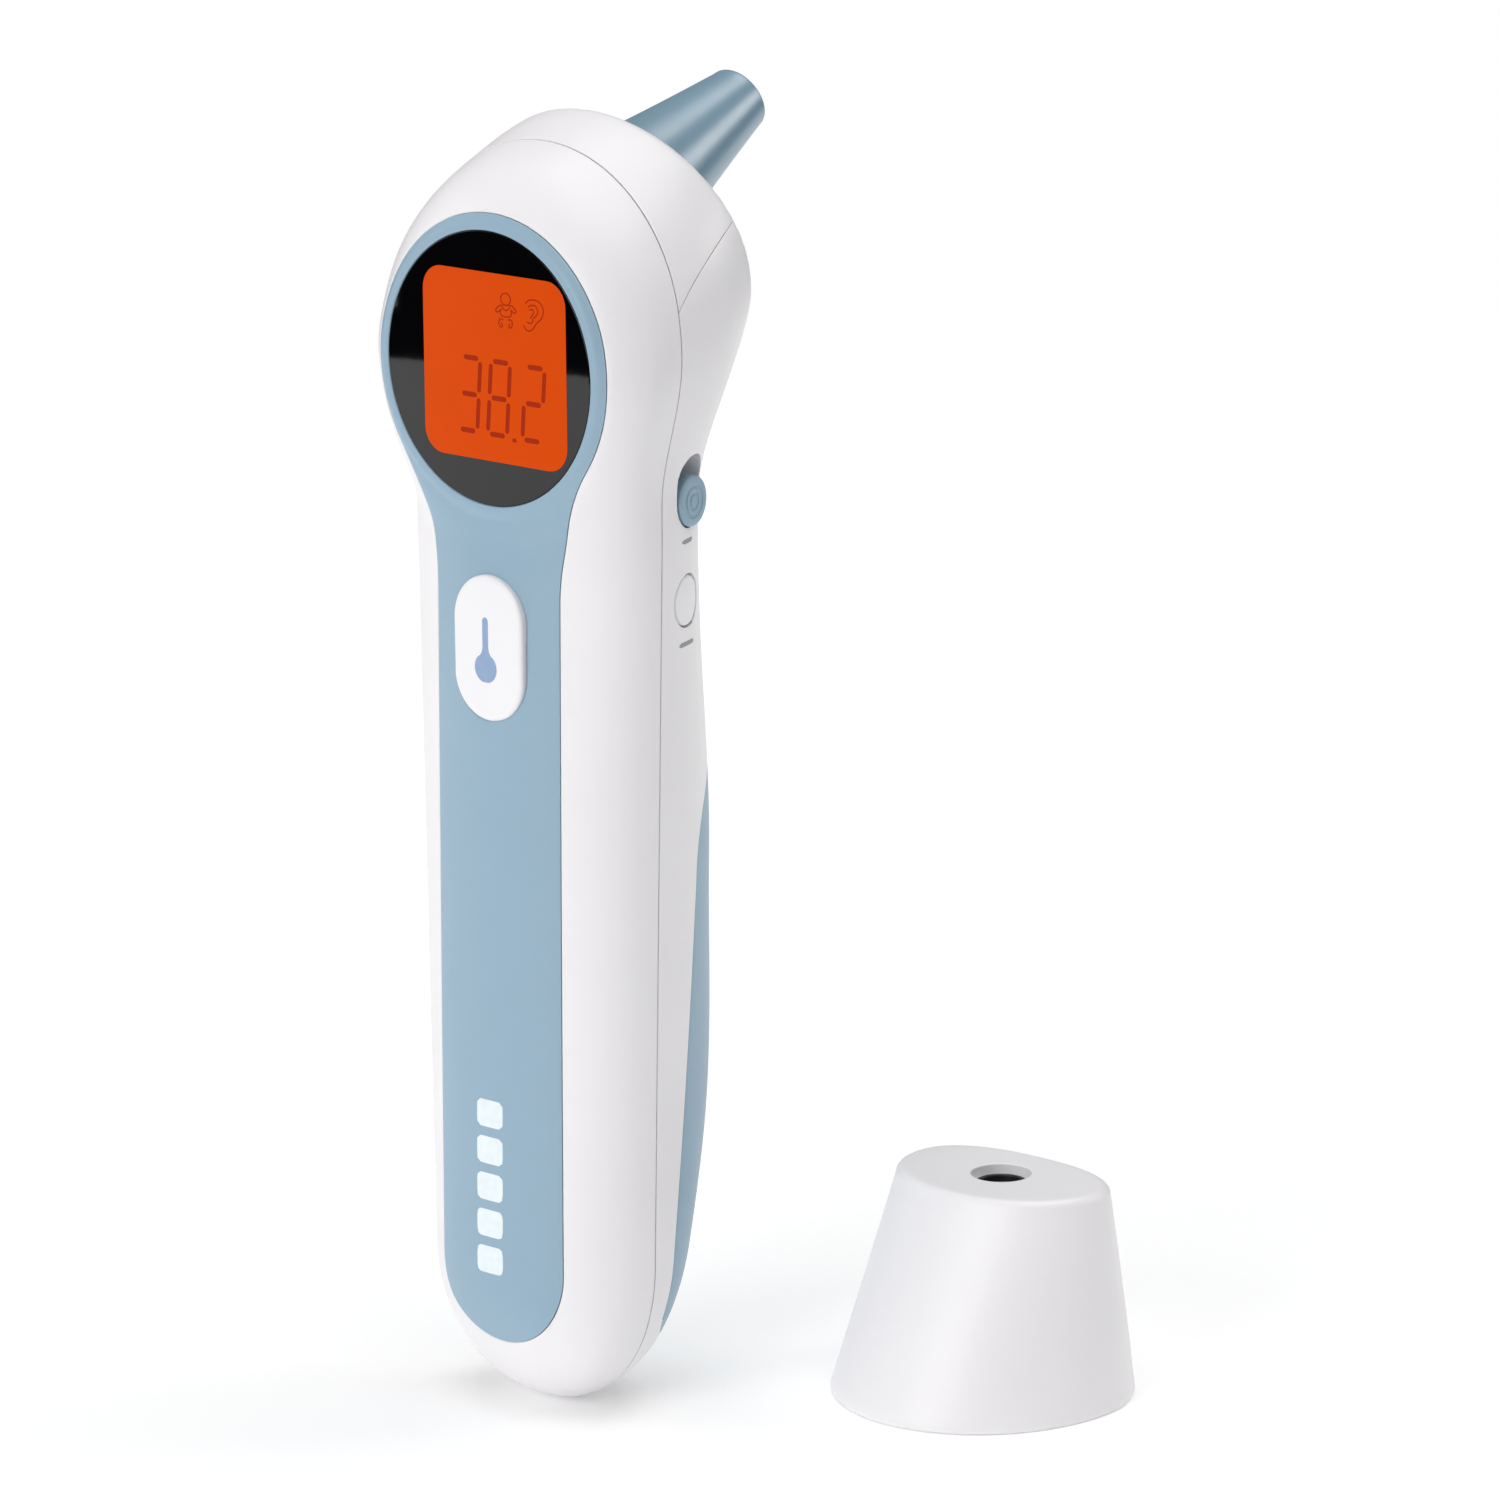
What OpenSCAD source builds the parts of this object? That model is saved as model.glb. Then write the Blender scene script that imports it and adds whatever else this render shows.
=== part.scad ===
// Digital ear thermometer with a slip-on forehead cap, millimetres.
// Origin: lowest point of the handle, on the parting plane of its two shells.
// +Z runs up the handle, -Y points out of the display, +X is the side with the two small switches.

/* [Handle] */
// Half width of the handle at the neck
neck_half_w = 18.6; // [18.2:0.1:19]
// Half width of the handle at the grip's lower end
grip_half_w = 16.45; // [16.2:0.05:17]
// Depth in front of the parting plane at the neck
front_neck_d = 9.5; // [9.3:0.05:9.7]
// Depth in front of the parting plane at the grip's lower end
front_grip_d = 11.15; // [10.9:0.05:11.4]
// Depth behind the parting plane at the neck
rear_neck_d = 17.2; // [17:0.1:18]
// Depth behind the parting plane at mid handle
rear_mid_d = 20.65; // [20.4:0.05:21.2]
// Depth behind the parting plane that the rounded lower end starts from
rear_grip_d = 23.55; // [23.2:0.05:24]

/* [Head] */
// Height of the display's centre
display_z = 129.6; // [129:0.1:130.2]
// Distance from the parting plane forward to the display's face
face_d = 9.5; // [9.4:0.05:9.6]
// Radius of the head's rim at the face
rim_r = 17.8; // [17.7:0.1:18]
// Largest radius of the head
head_r = 21.9; // [21.7:0.1:22.3]
// Angle at which the head climbs towards its back
head_rise = 23.6; // [22.6:0.2:24.4]
// Distance from the face's centre to the slanted back of the head, along the probe
head_len = 27.95; // [27.7:0.05:28.4]

/* [Shells] */
// Thickness of the shells
wall = 2.2; // [2:0.1:2.4]
// Thickness of the battery cover
cover_wall = 1.7; // [1.4:0.1:1.9]
// Gap between two shells at their seam
seam = 0.1; // [0.06:0.02:0.16]

/* [Front panel] */
// Outer radius of the ring round the display
ring_r = 18.46; // [18.3:0.02:18.7]
// Radius of the display window
window_r = 16.45; // [16.2:0.05:16.6]
// Half width of the strip down the handle
strip_half_w = 9.98; // [9.6:0.02:10.4]
// Lower end of the strip
strip_z = 9.2; // [9:0.2:10.4]
// Thickness of the panel at its edges
panel_t = 1; // [0.8:0.1:1.1]
// Height of the strip's middle over the handle's own curve
panel_crown = 0.75; // [0.4:0.05:0.9]

/* [Controls] */
// Width of the scan button
scan_w = 11.1; // [10.8:0.1:11.6]
// Height of the scan button
scan_h = 17.8; // [17:0.1:18.4]
// Height of the scan button's centre above the origin
scan_z = 95.9; // [95:0.1:97]
// Radius of the mode button
mode_r = 3.1; // [3:0.1:3.4]
// Height of the mode button's centre
mode_z = 101.5; // [101.2:0.1:102.2]
// Radius of the sliding knob
knob_r = 3.1; // [2.9:0.1:3.2]
// Height of the knob's centre in its lower position
knob_z = 113.5; // [113:0.1:114]
// How far the knob slides up
knob_travel = 2.5; // [2:0.1:2.6]

/* [Probe] */
// Angle of the probe above the horizontal
probe_angle = 24.5; // [23.5:0.5:25.5]
// Distance of the probe's axis from the face's centre, square to the axis
probe_offset = 6.2; // [6:0.1:6.4]
// Radius of the probe's tip
tip_r = 4.1; // [3.8:0.05:4.3]
// Radius of the probe where it leaves the head
root_r = 8.4; // [8.2:0.05:8.5]
// Length of the probe outside the head
probe_len = 23.6; // [23:0.1:24]
// Radius of the collar that the cap slips over
collar_r = 10; // [9.8:0.1:10.2]
// Height of that collar
collar_h = 2; // [1.6:0.1:2.2]

/* [Cap] */
// Sideways place of the cap's base on the surface beside the handle
cap_x = 38; // [38:1:60]
// Place of the cap's base behind the parting plane
cap_y = 37; // [36:1:50]
// Height of the cap
cap_h = 26.6; // [26:0.1:27.4]
// Wall of the cap
cap_wall = 1.5; // [1.2:0.1:1.8]
// Radius of the opening in the cap's top
cap_hole_r = 3.75; // [3.5:0.05:3.9]

/* [Power] */
// Radius of a size AAA cell
cell_r = 5.25; // [5.1:0.05:5.25]
// Length of a size AAA cell
cell_len = 44.5; // [44:0.1:44.5]

/* [Hidden] */
$fn = 64;

white = [0.95, 0.95, 0.96];
blue = [0.60, 0.70, 0.78];
deep_blue = [0.52, 0.63, 0.71];
board_green = [0.10, 0.36, 0.22];
steel = [0.75, 0.76, 0.78];
black = [0.05, 0.05, 0.06];

// Heights between which the handle's width and depth change
grip_z = display_z - 100;
neck_z = display_z - 20;
mid_z = display_z - 62;
// Heights over which the lower end is rounded: sides, front and back
side_end_h = 19;
front_end_h = 17.8;
rear_end_h = 72.7;
// How square the handle's section is, in front and behind
front_power = 2.45;
rear_power = 2;
// The head is widest this far behind its face
widest_d = 13.2;
rim_power = 4.45;
rear_narrowing = 0.021;
// Radii with which the head's back edge is rounded and the handle runs into the head
back_round = 1.6;
front_neck_round = 5.6;
rear_neck_round = 9.4;
clear = 200;

// --- The outer surface -------------------------------------------------------------------
// body_field is negative inside the thermometer's body and near its true distance at the skin,
// so the shells, the panel and the cavity are all this one surface at different depths.

function unit(t) = min(max(t, 0), 1);
function ease(t) = let (c = unit(t)) c * c * (3 - 2 * c);
function mix(a, b, t) = a + (b - a) * t;
function blend_min(a, b, k) =
    let (h = unit(0.5 + 0.5 * (b - a) / k)) mix(b, a, h) - k * h * (1 - h);
function blend_max(a, b, k) = -blend_min(-a, -b, k);
function round_end(z, h) = let (t = unit((h - z) / h)) sqrt(max(1 - t * t, 0.000002));

function along_grip(z) = min(max((z - grip_z) / (neck_z - grip_z), -0.2), 1);
function half_width(z) = mix(grip_half_w, neck_half_w, along_grip(z)) * round_end(z, side_end_h);
function front_depth(z) = mix(front_grip_d, front_neck_d, along_grip(z)) * round_end(z, front_end_h);
function rear_depth(z) = round_end(z, rear_end_h) * (rear_grip_d
    + (rear_mid_d - rear_grip_d) * ease((z - grip_z) / (mid_z - grip_z))
    + (rear_neck_d - rear_mid_d) * ease((z - mid_z) / (neck_z - mid_z)));

function handle_field(x, y, z) =
    let (w = half_width(z),
         d = y < 0 ? front_depth(z) : rear_depth(z),
         n = y < 0 ? front_power : rear_power,
         q = pow(pow(abs(x) / w, n) + pow(abs(y) / d, n), 1 / n))
    blend_max((q - 1) * min(w, d), z - display_z - 2, 6);

function head_field(x, y, z) =
    let (d = y + face_d,
         up = z - display_z,
         off_axis = sqrt(x * x + pow(up - d * tan(head_rise), 2)),
         r = d < widest_d ? head_r - (head_r - rim_r) * pow(abs(widest_d - d) / widest_d, rim_power)
                          : head_r - rear_narrowing * pow(d - widest_d, 2))
    off_axis - r;

function body_field(x, y, z) =
    let (neck_round = mix(front_neck_round, rear_neck_round, ease(y / 12)),
         both = blend_min(handle_field(x, y, z), head_field(x, y, z), neck_round),
         back = (y + face_d) * cos(probe_angle) + (z - display_z) * sin(probe_angle),
         face = -face_d - 3.4 * ease((neck_z - z) / 14))
    blend_max(blend_max(both, back - head_len, back_round), face - y, 0.8);

// How far the strip's middle stands over that surface
function crown(x, z) = panel_crown * (1 - pow(unit(abs(x) / strip_half_w), 2))
    * ease((display_z - 16 - z) / 16) * ease((z - strip_z) / 8);

// Distance from a point on the middle plane out to the skin, in the section at height z.
// A lift of 1 adds the strip's crown.
function reach(y, z, a, depth, lift, near = 0, far = 30, n = 13) =
    n == 0 ? (near + far) / 2 :
    let (m = (near + far) / 2,
         x = m * sin(a),
         raised = a < 90 ? lift * crown(x, z) : 0)
    body_field(x, y - m * cos(a), z) < raised - depth ? reach(y, z, a, depth, lift, m, far, n - 1)
                                                     : reach(y, z, a, depth, lift, near, m, n - 1);
function top_z(depth, low = 150, high = 162, n = 13) =
    n == 0 ? (low + high) / 2 :
    let (m = (low + high) / 2)
    body_field(0, 8, m) < -depth ? top_z(depth, m, high, n - 1) : top_z(depth, low, m, n - 1);

section_steps = 18;
function section_centre(z) = 8 * ease((z - display_z - 5) / 22);
function section(z, depth, lift) =
    let (c = section_centre(z),
         half = [for (i = [0:section_steps])
             let (a = 180 * i / section_steps, r = reach(c, z, a, depth, lift))
             [r * sin(a), c - r * cos(a), z]])
    concat(half, [for (i = [section_steps - 1:-1:1]) [-half[i][0], half[i][1], z]]);

// Section heights as parts of the whole height, closest at the two rounded ends
levels = concat(
    [for (i = [0:6]) 0.0004 + 0.12 * (1 - cos(15 * i))],
    [for (i = [1:7]) 0.12 + 0.08 * i],
    [for (i = [1:6]) 0.68 + 0.04 * i],
    [for (i = [1:6]) 0.92 + 0.0797 * sin(15 * i)]
);

// The body's skin at a depth, as one convex slab between each two sections
module body_at(depth, lift = 0) {
    low = depth > 0 ? depth + 0.5 : 0;
    high = top_z(depth);
    rings = [for (t = levels) section(mix(low, high, t), depth, lift)];
    n = 2 * section_steps;
    for (i = [0:len(rings) - 2])
        hull()
            polyhedron(concat(rings[i], rings[i + 1]), concat(
                [[for (k = [0:n - 1]) k]],
                [for (k = [0:n - 1]) [k, n + k, n + (k + 1) % n, (k + 1) % n]],
                [[for (k = [n - 1:-1:0]) n + k]]));
}

// --- Placing -----------------------------------------------------------------------------

// A solid drawn on the front view (x, z) and running from y = from to y = to
module from_front(from, to)
    translate([0, to, 0]) rotate([90, 0, 0]) linear_extrude(to - from) children();
// A solid drawn on the side view (y, z) and running the full width
module from_side(half = clear)
    translate([-half, 0, 0]) rotate([90, 0, 90]) linear_extrude(2 * half) children();
// Local +Z leaves the back of the head along the probe's axis
module along_probe(at = 0)
    translate([0, (head_len + at) * cos(probe_angle) - probe_offset * sin(probe_angle) - face_d,
               display_z + (head_len + at) * sin(probe_angle) + probe_offset * cos(probe_angle)])
        rotate([probe_angle - 90, 0, 0]) children();
// Local +Z leaves the body on the switch side
module towards_side(x, y, z) translate([x, y, z]) rotate([0, 90, 0]) children();
// Local +Z points out of the front
module towards_front(x, y, z) translate([x, y, z]) rotate([90, 0, 0]) children();

module box_between(low, high) translate(low) cube(high - low);
module tube(r, hole_r, h) difference() {
    cylinder(r = r, h = h);
    translate([0, 0, -1]) cylinder(r = hole_r, h = h + 2);
}
module obround(w, h, extra = 0) {
    for (s = [-1, 1]) translate([0, s * (h - w) / 2]) circle(r = w / 2 + extra);
    translate([-w / 2 - extra, (w - h) / 2]) square([w + 2 * extra, h - w]);
}

// --- Outlines ----------------------------------------------------------------------------

// Front view of the panel: a disc that runs into a strip through two fillets
fillet_r = 30;
module panel_outline(extra = 0) offset(delta = extra) translate([0, display_z]) {
    fillet_x = strip_half_w + fillet_r;
    fillet_z = sqrt(pow(ring_r + fillet_r, 2) - pow(fillet_x, 2));
    circle(r = ring_r, $fn = 96);
    difference() {
        translate([-strip_half_w - 6, -fillet_z]) square([2 * strip_half_w + 12, fillet_z]);
        for (s = [-1, 1]) translate([s * fillet_x, -fillet_z]) circle(r = fillet_r, $fn = 160);
    }
    low_centre = strip_z + strip_half_w - display_z;
    translate([-strip_half_w, low_centre]) square([2 * strip_half_w, -fillet_z - low_centre + 0.01]);
    translate([0, low_centre]) circle(r = strip_half_w, $fn = 96);
}

// Side view of the battery cover: a slanted edge with a round top
cover_edge_top = [8.45, 66.5];
cover_edge_low = [3.3, 12.5];
cover_top_r = 17.3;
cover_low_z = 8.6;
module cover_outline(extra = 0) offset(delta = extra) union() {
    translate([cover_edge_top[0] + cover_top_r, cover_edge_top[1]]) circle(r = cover_top_r, $fn = 96);
    hull() {
        translate([cover_edge_top[0], cover_edge_top[1] - 0.1]) square([40, 0.1]);
        translate([cover_edge_low[0] + 3, cover_low_z + 3]) circle(r = 3, $fn = 32);
        translate([cover_edge_low[0] + 3, cover_low_z]) square([40, 1]);
    }
}

// Side view of the head's separate back: above an arc that climbs from the parting plane
housing_arc_at = [23.8, 117.5];
housing_arc_r = 30.9;
housing_boss_r = 12;
module housing_zone(extra = 0) {
    difference() {
        box_between([-clear, seam / 2, housing_arc_at[1]], [clear, clear, clear]);
        from_side() translate(housing_arc_at) circle(r = housing_arc_r - extra, $fn = 96);
    }
    along_probe(-7) cylinder(r = housing_boss_r + extra, h = 40);
}

// --- Shells ------------------------------------------------------------------------------

side_y = 6.3;
mode_shift = 0.7;
case_screw_x = 7;
case_screw_z = 22;
collar_neck_r = 9.4;
board_screw_at = [[-9, 74], [9, 74], [0, 144.6]];

module scan_hole(extra) towards_front(0, 0, scan_z) linear_extrude(40) obround(scan_w, scan_h, extra);

module front_shell() color(white) difference() {
    union() {
        difference() {
            body_at(0);
            from_front(-clear, 0) panel_outline(0.05);
        }
        body_at(panel_t + 0.05);
    }
    difference() {
        body_at(wall);
        for (s = [-1, 1])
            towards_front(s * case_screw_x, 0, case_screw_z) cylinder(r = 2.8, h = 20, $fn = 24);
        for (p = board_screw_at)
            towards_front(p[0], board_y, p[1]) cylinder(r = 1.6, h = 20, $fn = 24);
    }
    box_between([-clear, -seam / 2, -clear], [clear, clear, clear]);
    scan_hole(0.15);
    from_front(-clear, -face_d + panel_t + 0.05)
        translate([0, display_z]) circle(r = window_r + 0.05, $fn = 96);
    box_between([-12.1, -20, display_z - 12.1], [12.1, 0, display_z + 12.1]);
    for (s = [-1, 1])
        towards_front(s * case_screw_x, 1, case_screw_z) cylinder(r = 1.05, h = 7.6, $fn = 24);
    for (p = board_screw_at)
        towards_front(p[0], board_y + 1, p[1]) cylinder(r = 0.85, h = 3.4, $fn = 24);
}

module rear_shell() color(white) difference() {
    body_at(0);
    body_at(wall);
    box_between([-clear, -clear, -clear], [clear, seam / 2, clear]);
    housing_zone();
    from_side() cover_outline(0.12);
    on_mode_axis(0) cylinder(r = mode_r + 0.15, h = 40, $fn = 48);
    hull() for (dz = [0, knob_travel])
        translate([0, 0, dz]) on_knob_axis(0) cylinder(r = knob_r + 0.15, h = 40, $fn = 48);
}

module probe_housing() color(white) difference() {
    intersection() {
        difference() {
            body_at(0);
            body_at(wall);
        }
        housing_zone(-seam);
    }
    along_probe(-8) cylinder(r = collar_neck_r + 0.05, h = 30, $fn = 96);
    box_between([-clear, -clear, -clear], [clear, seam / 2, clear]);
}

// Stepped ring set into the housing round the probe's root. The cap slips over its upper part.
module probe_collar() color(white) along_probe() rotate_extrude($fn = 96) polygon([
    [root_r + 0.12, -wall],
    [collar_neck_r, -wall],
    [collar_neck_r, 0],
    [collar_r, 0],
    [collar_r, collar_h],
    [root_r + 0.12, collar_h]
]);

// Raised ribs at the cover's top, where a thumb grips it
module cover_grips() for (i = [0:3])
    hull() for (s = [-1, 1])
        translate([s * (4.2 - 0.6 * i), rear_mid_d - 1, 74.5 - 2.4 * i]) sphere(r = 1.1, $fn = 12);

module battery_cover() color(blue) {
    intersection() {
        difference() {
            body_at(0);
            body_at(cover_wall);
            box_between([-clear, -clear, -clear], [clear, 1, clear]);
        }
        from_side() cover_outline(0);
    }
    cover_grips();
}

module front_panel() color(blue) difference() {
    intersection() {
        union() {
            body_at(0, 1);
            from_front(-face_d - 0.4, 0) translate([0, display_z]) circle(r = window_r + 1.2, $fn = 96);
        }
        from_front(-clear, -2) panel_outline(0);
    }
    body_at(panel_t);
    from_front(-clear, clear) translate([0, display_z]) circle(r = window_r + 0.05, $fn = 96);
    scan_hole(0.15);
}

// --- Display -----------------------------------------------------------------------------

board_y = -4.6;
board_t = 1;
lcd_half = 12;
window_back_y = -face_d + panel_t;
lcd_y = window_back_y + 0.1;
lcd_t = 1.5;
light_t = 1.3;
bed_y = -face_d + wall;
lcd_frame_r = 17;

module display_window() color(black)
    from_front(-face_d - 0.35, window_back_y) translate([0, display_z]) circle(r = window_r);

module lcd_glass() color([0.88, 0.32, 0.06])
    box_between([-lcd_half, lcd_y, display_z - lcd_half],
                [lcd_half, lcd_y + lcd_t, display_z + lcd_half]);

module lcd_backlight() color([0.96, 0.93, 0.85])
    box_between([-lcd_half, lcd_y + lcd_t, display_z - lcd_half],
                [lcd_half, lcd_y + lcd_t + light_t, display_z + 9.4]);

module lcd_connector() color([0.85, 0.35, 0.45])
    box_between([-11, lcd_y + lcd_t, display_z + 9.7], [11, board_y, display_z + 11.7]);

module lcd_frame() color(white) difference() {
    intersection() {
        box_between([-13, bed_y + 0.2, display_z - 13], [13, board_y, display_z + 13]);
        from_front(-20, 0) translate([0, display_z]) circle(r = lcd_frame_r);
    }
    hole = lcd_half + 0.1;
    box_between([-hole, -20, display_z - hole], [hole, 0, display_z + hole]);
}

// --- Boards ------------------------------------------------------------------------------

board_low_z = 70;
board_half_w = 12;

module main_board() color(board_green) difference() {
    from_front(board_y, board_y + board_t) {
        translate([0, display_z]) circle(r = 17);
        translate([-board_half_w, board_low_z]) square([2 * board_half_w, display_z - board_low_z]);
    }
    for (p = board_screw_at) towards_front(p[0], 0, p[1]) cylinder(r = 1, h = 10);
}

module board_screws() color(steel) for (p = board_screw_at) {
    towards_front(p[0], board_y + board_t, p[1]) cylinder(r = 0.8, h = 3.2);
    towards_front(p[0], board_y + board_t + 1.2, p[1]) difference() {
        cylinder(r = 1.6, h = 1.2);
        translate([0, 0, -0.1]) cylinder(r = 0.7, h = 0.7, $fn = 6);
    }
}

module case_screws() color(steel) for (s = [-1, 1]) {
    towards_front(s * case_screw_x, tray_y + tray_t, case_screw_z)
        cylinder(r = 1, h = tray_y + tray_t + 6);
    towards_front(s * case_screw_x, tray_y + tray_t + 1.5, case_screw_z) difference() {
        cylinder(r = 2, h = 1.5);
        translate([0, 0, -0.1]) cylinder(r = 0.9, h = 0.9, $fn = 6);
    }
}

chip_half = 3.5;
module microcontroller() color(black)
    box_between([-chip_half, board_y + board_t, 106],
                [chip_half, board_y + board_t + 1.2, 106 + 2 * chip_half]);

// Capacitors, resistors and a crystal on the back of the main board
module small_parts() {
    y = board_y + board_t;
    color([0.75, 0.66, 0.5]) for (i = [0:5])
        translate([-8 + 3.2 * i, y, 118.5 + 2 * (i % 2)]) cube([1.6, 0.8, 0.9]);
    color(black) for (s = [-1, 1], i = [0:2])
        translate([s * 7.5 - 1, y, 104 + 3.4 * i]) cube([2, 0.6, 1.2]);
    color(steel) translate([-2.5, y, 100.5]) cube([5, 1.1, 2]);
}

buzzer_z = 88;
module buzzer() color(black) towards_front(0, board_y + board_t + 3, buzzer_z) difference() {
    cylinder(r = 6, h = 3);
    translate([0, 0, -1]) cylinder(r = 1, h = 2.5);
}

side_board_x = 7.6;
module side_board() color(board_green)
    box_between([side_board_x, 2, 95], [side_board_x + 1, 11.5, 121]);

module board_header() color(black)
    box_between([side_board_x - 1, board_y + board_t, 97], [side_board_x + 1, 2, 103]);

// --- Scan button -------------------------------------------------------------------------

scan_top_y = -10.8;
scan_wall = 1.2;
scan_step = 0.4;
scan_flange_y = -6.75;
plunger_y = -7.3;

module scan_slab(from, to, extra)
    from_front(from, to) translate([0, scan_z]) obround(scan_w, scan_h, extra);

module scan_button() color(white) difference() {
    union() {
        scan_slab(scan_top_y + scan_step, scan_flange_y, 0);
        scan_slab(scan_top_y, scan_top_y + scan_step, -scan_step);
        scan_slab(scan_flange_y, scan_flange_y + 0.6, 1.15);
    }
    difference() {
        scan_slab(-9.2, 0, -scan_wall);
        towards_front(0, plunger_y, scan_z) cylinder(r = 1.5, h = 3);
    }
    scan_icon_shape(scan_top_y + 0.25);
}

module scan_icon_shape(depth_y) from_front(-20, depth_y) translate([0, scan_z]) {
    translate([0, -2.1]) circle(r = 1.65);
    translate([-0.45, -2.1]) square([0.9, 5.8]);
    translate([0, 3.7]) circle(r = 0.45, $fn = 24);
}

module scan_icon() color(deep_blue) intersection() {
    scan_icon_shape(scan_top_y + 0.25);
    from_front(scan_top_y, 0) translate([0, scan_z]) square([8, 12], center = true);
}

module scan_switch() color(steel) difference() {
    box_between([-3, -6.2, scan_z - 3], [3, board_y, scan_z + 3]);
    towards_front(0, -5.2, scan_z) cylinder(r = 1.8, h = 5);
}

module scan_plunger() color(black)
    towards_front(0, -6.1, scan_z) cylinder(r = 1.7, h = -6.1 - plunger_y);

// --- Side controls -----------------------------------------------------------------------

mode_flange_x = 11.4;
module on_mode_axis(x) towards_side(x, side_y - mode_shift, mode_z) children();

module mode_button() color(white) {
    intersection() {
        body_at(0);
        on_mode_axis(mode_flange_x + 0.5) cylinder(r = mode_r, h = 20, $fn = 48);
    }
    on_mode_axis(mode_flange_x) cylinder(r = mode_r + 0.9, h = 0.6, $fn = 48);
}

module mode_switch() color(steel) difference() {
    box_between([side_board_x + 1, side_y - 3.1, mode_z - 2.5], [10.4, side_y + 1.9, mode_z + 2.5]);
    on_mode_axis(9) cylinder(r = 1.3, h = 5);
}

module mode_plunger() color(black) on_mode_axis(9.6) cylinder(r = 1.2, h = mode_flange_x - 9.6);

knob_top_x = 18;
knob_plate_x = 10.9;
knob_bevel = 0.7;
module on_knob_axis(x) towards_side(x, side_y, knob_z) children();

module unit_knob() color(deep_blue) {
    bevel_x = knob_top_x - knob_bevel;
    difference() {
        union() {
            on_knob_axis(knob_plate_x) cylinder(r = knob_r, h = bevel_x - knob_plate_x);
            on_knob_axis(bevel_x) cylinder(r1 = knob_r, r2 = knob_r - knob_bevel, h = knob_bevel);
        }
        for (r = [0.7, 1.6]) on_knob_axis(knob_top_x - 0.25) tube(r + 0.35, r, 1);
    }
    box_between([knob_plate_x, side_y - 3.7, knob_z - 5.8],
                [knob_plate_x + 0.6, side_y + 3.4, knob_z + 4.2]);
}

lever_half = 0.8;
module unit_lever() color(black)
    box_between([9.4, side_y - lever_half, knob_z - lever_half],
                [knob_plate_x, side_y + lever_half, knob_z + lever_half]);

module unit_switch() color(steel) difference() {
    box_between([side_board_x + 1, side_y - 2, knob_z - 3.6], [10.4, side_y + 2, knob_z + 6]);
    box_between([9.2, side_y - 1, knob_z - 1.1], [11, side_y + 1, knob_z + knob_travel + 1.1]);
}

// --- Batteries ---------------------------------------------------------------------------

tray_y = 0.6;
tray_t = 1.4;
tray_half_w = 13;
bay_half_w = 11.5;
bay_low_z = 32.4;
bay_high_z = 82;
contact_t = 0.4;
cell_x = 5.65;
cell_y = 7.6;
spring_h = bay_high_z - bay_low_z - 2 * contact_t - cell_len;

module battery_tray() color(white) difference() {
    intersection() {
        body_at(wall + 0.3);
        union() {
            difference() {
                box_between([-tray_half_w, tray_y, 12], [tray_half_w, 8, bay_high_z + 1.4]);
                box_between([-bay_half_w, tray_y + tray_t, bay_low_z], [bay_half_w, 20, bay_high_z]);
                box_between([-bay_half_w, tray_y + tray_t, 13.4], [bay_half_w, 20, bay_low_z - 1.4]);
            }
            box_between([-0.2, tray_y, bay_low_z], [0.2, 5, bay_high_z]);
        }
    }
    for (s = [-1, 1])
        towards_front(s * case_screw_x, 10, case_screw_z) cylinder(r = 1.1, h = 12, $fn = 24);
}

// One cell standing on its flat end
module cell(jacket) {
    nub_h = 1;
    color(jacket) cylinder(r = cell_r, h = cell_len - nub_h - 0.4);
    color(steel) translate([0, 0, cell_len - nub_h - 0.4]) cylinder(r = cell_r - 0.5, h = 0.4);
    color(steel) translate([0, 0, cell_len - nub_h]) cylinder(r = 1.9, h = nub_h);
}

module battery_left()
    translate([-cell_x, cell_y, bay_low_z + contact_t + spring_h]) cell([0.28, 0.42, 0.55]);

module battery_right()
    translate([cell_x, cell_y, bay_high_z - contact_t - spring_h])
        rotate([180, 0, 0]) cell([0.28, 0.42, 0.55]);

spring_turns = 4;
spring_wire_r = 0.3;
module cone_spring() {
    steps = 14;
    sides = 6;
    last = spring_turns * steps;
    function coil_point(i, k) =
        let (t = i / last,
             r = mix(3.7, 2.3, t) + spring_wire_r * cos(360 * k / sides),
             z = mix(spring_wire_r, spring_h - spring_wire_r, t) + spring_wire_r * sin(360 * k / sides))
        [r * cos(360 * i / steps), r * sin(360 * i / steps), z];
    polyhedron(
        [for (i = [0:last], k = [0:sides - 1]) coil_point(i, k)],
        concat(
            [[for (k = [0:sides - 1]) k]],
            [for (i = [0:last - 1], k = [0:sides - 1])
                let (j = (k + 1) % sides)
                [i * sides + k, (i + 1) * sides + k, (i + 1) * sides + j, i * sides + j]],
            [[for (k = [sides - 1:-1:0]) last * sides + k]]));
}

module battery_springs() color(steel) {
    translate([-cell_x, cell_y, bay_low_z + contact_t]) cone_spring();
    translate([cell_x, cell_y, bay_high_z - contact_t]) rotate([180, 0, 0]) cone_spring();
}

module battery_contacts() color(steel) for (s = [-1, 1], z = [bay_low_z, bay_high_z - contact_t])
    translate([s * cell_x - 4.6, tray_y + tray_t, z]) cube([9.2, 9.6, contact_t]);

// --- Probe -------------------------------------------------------------------------------

probe_wall = 1.3;
flange_low = -4.8;
flange_t = 1.4;
flange_r = 9.4;

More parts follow.
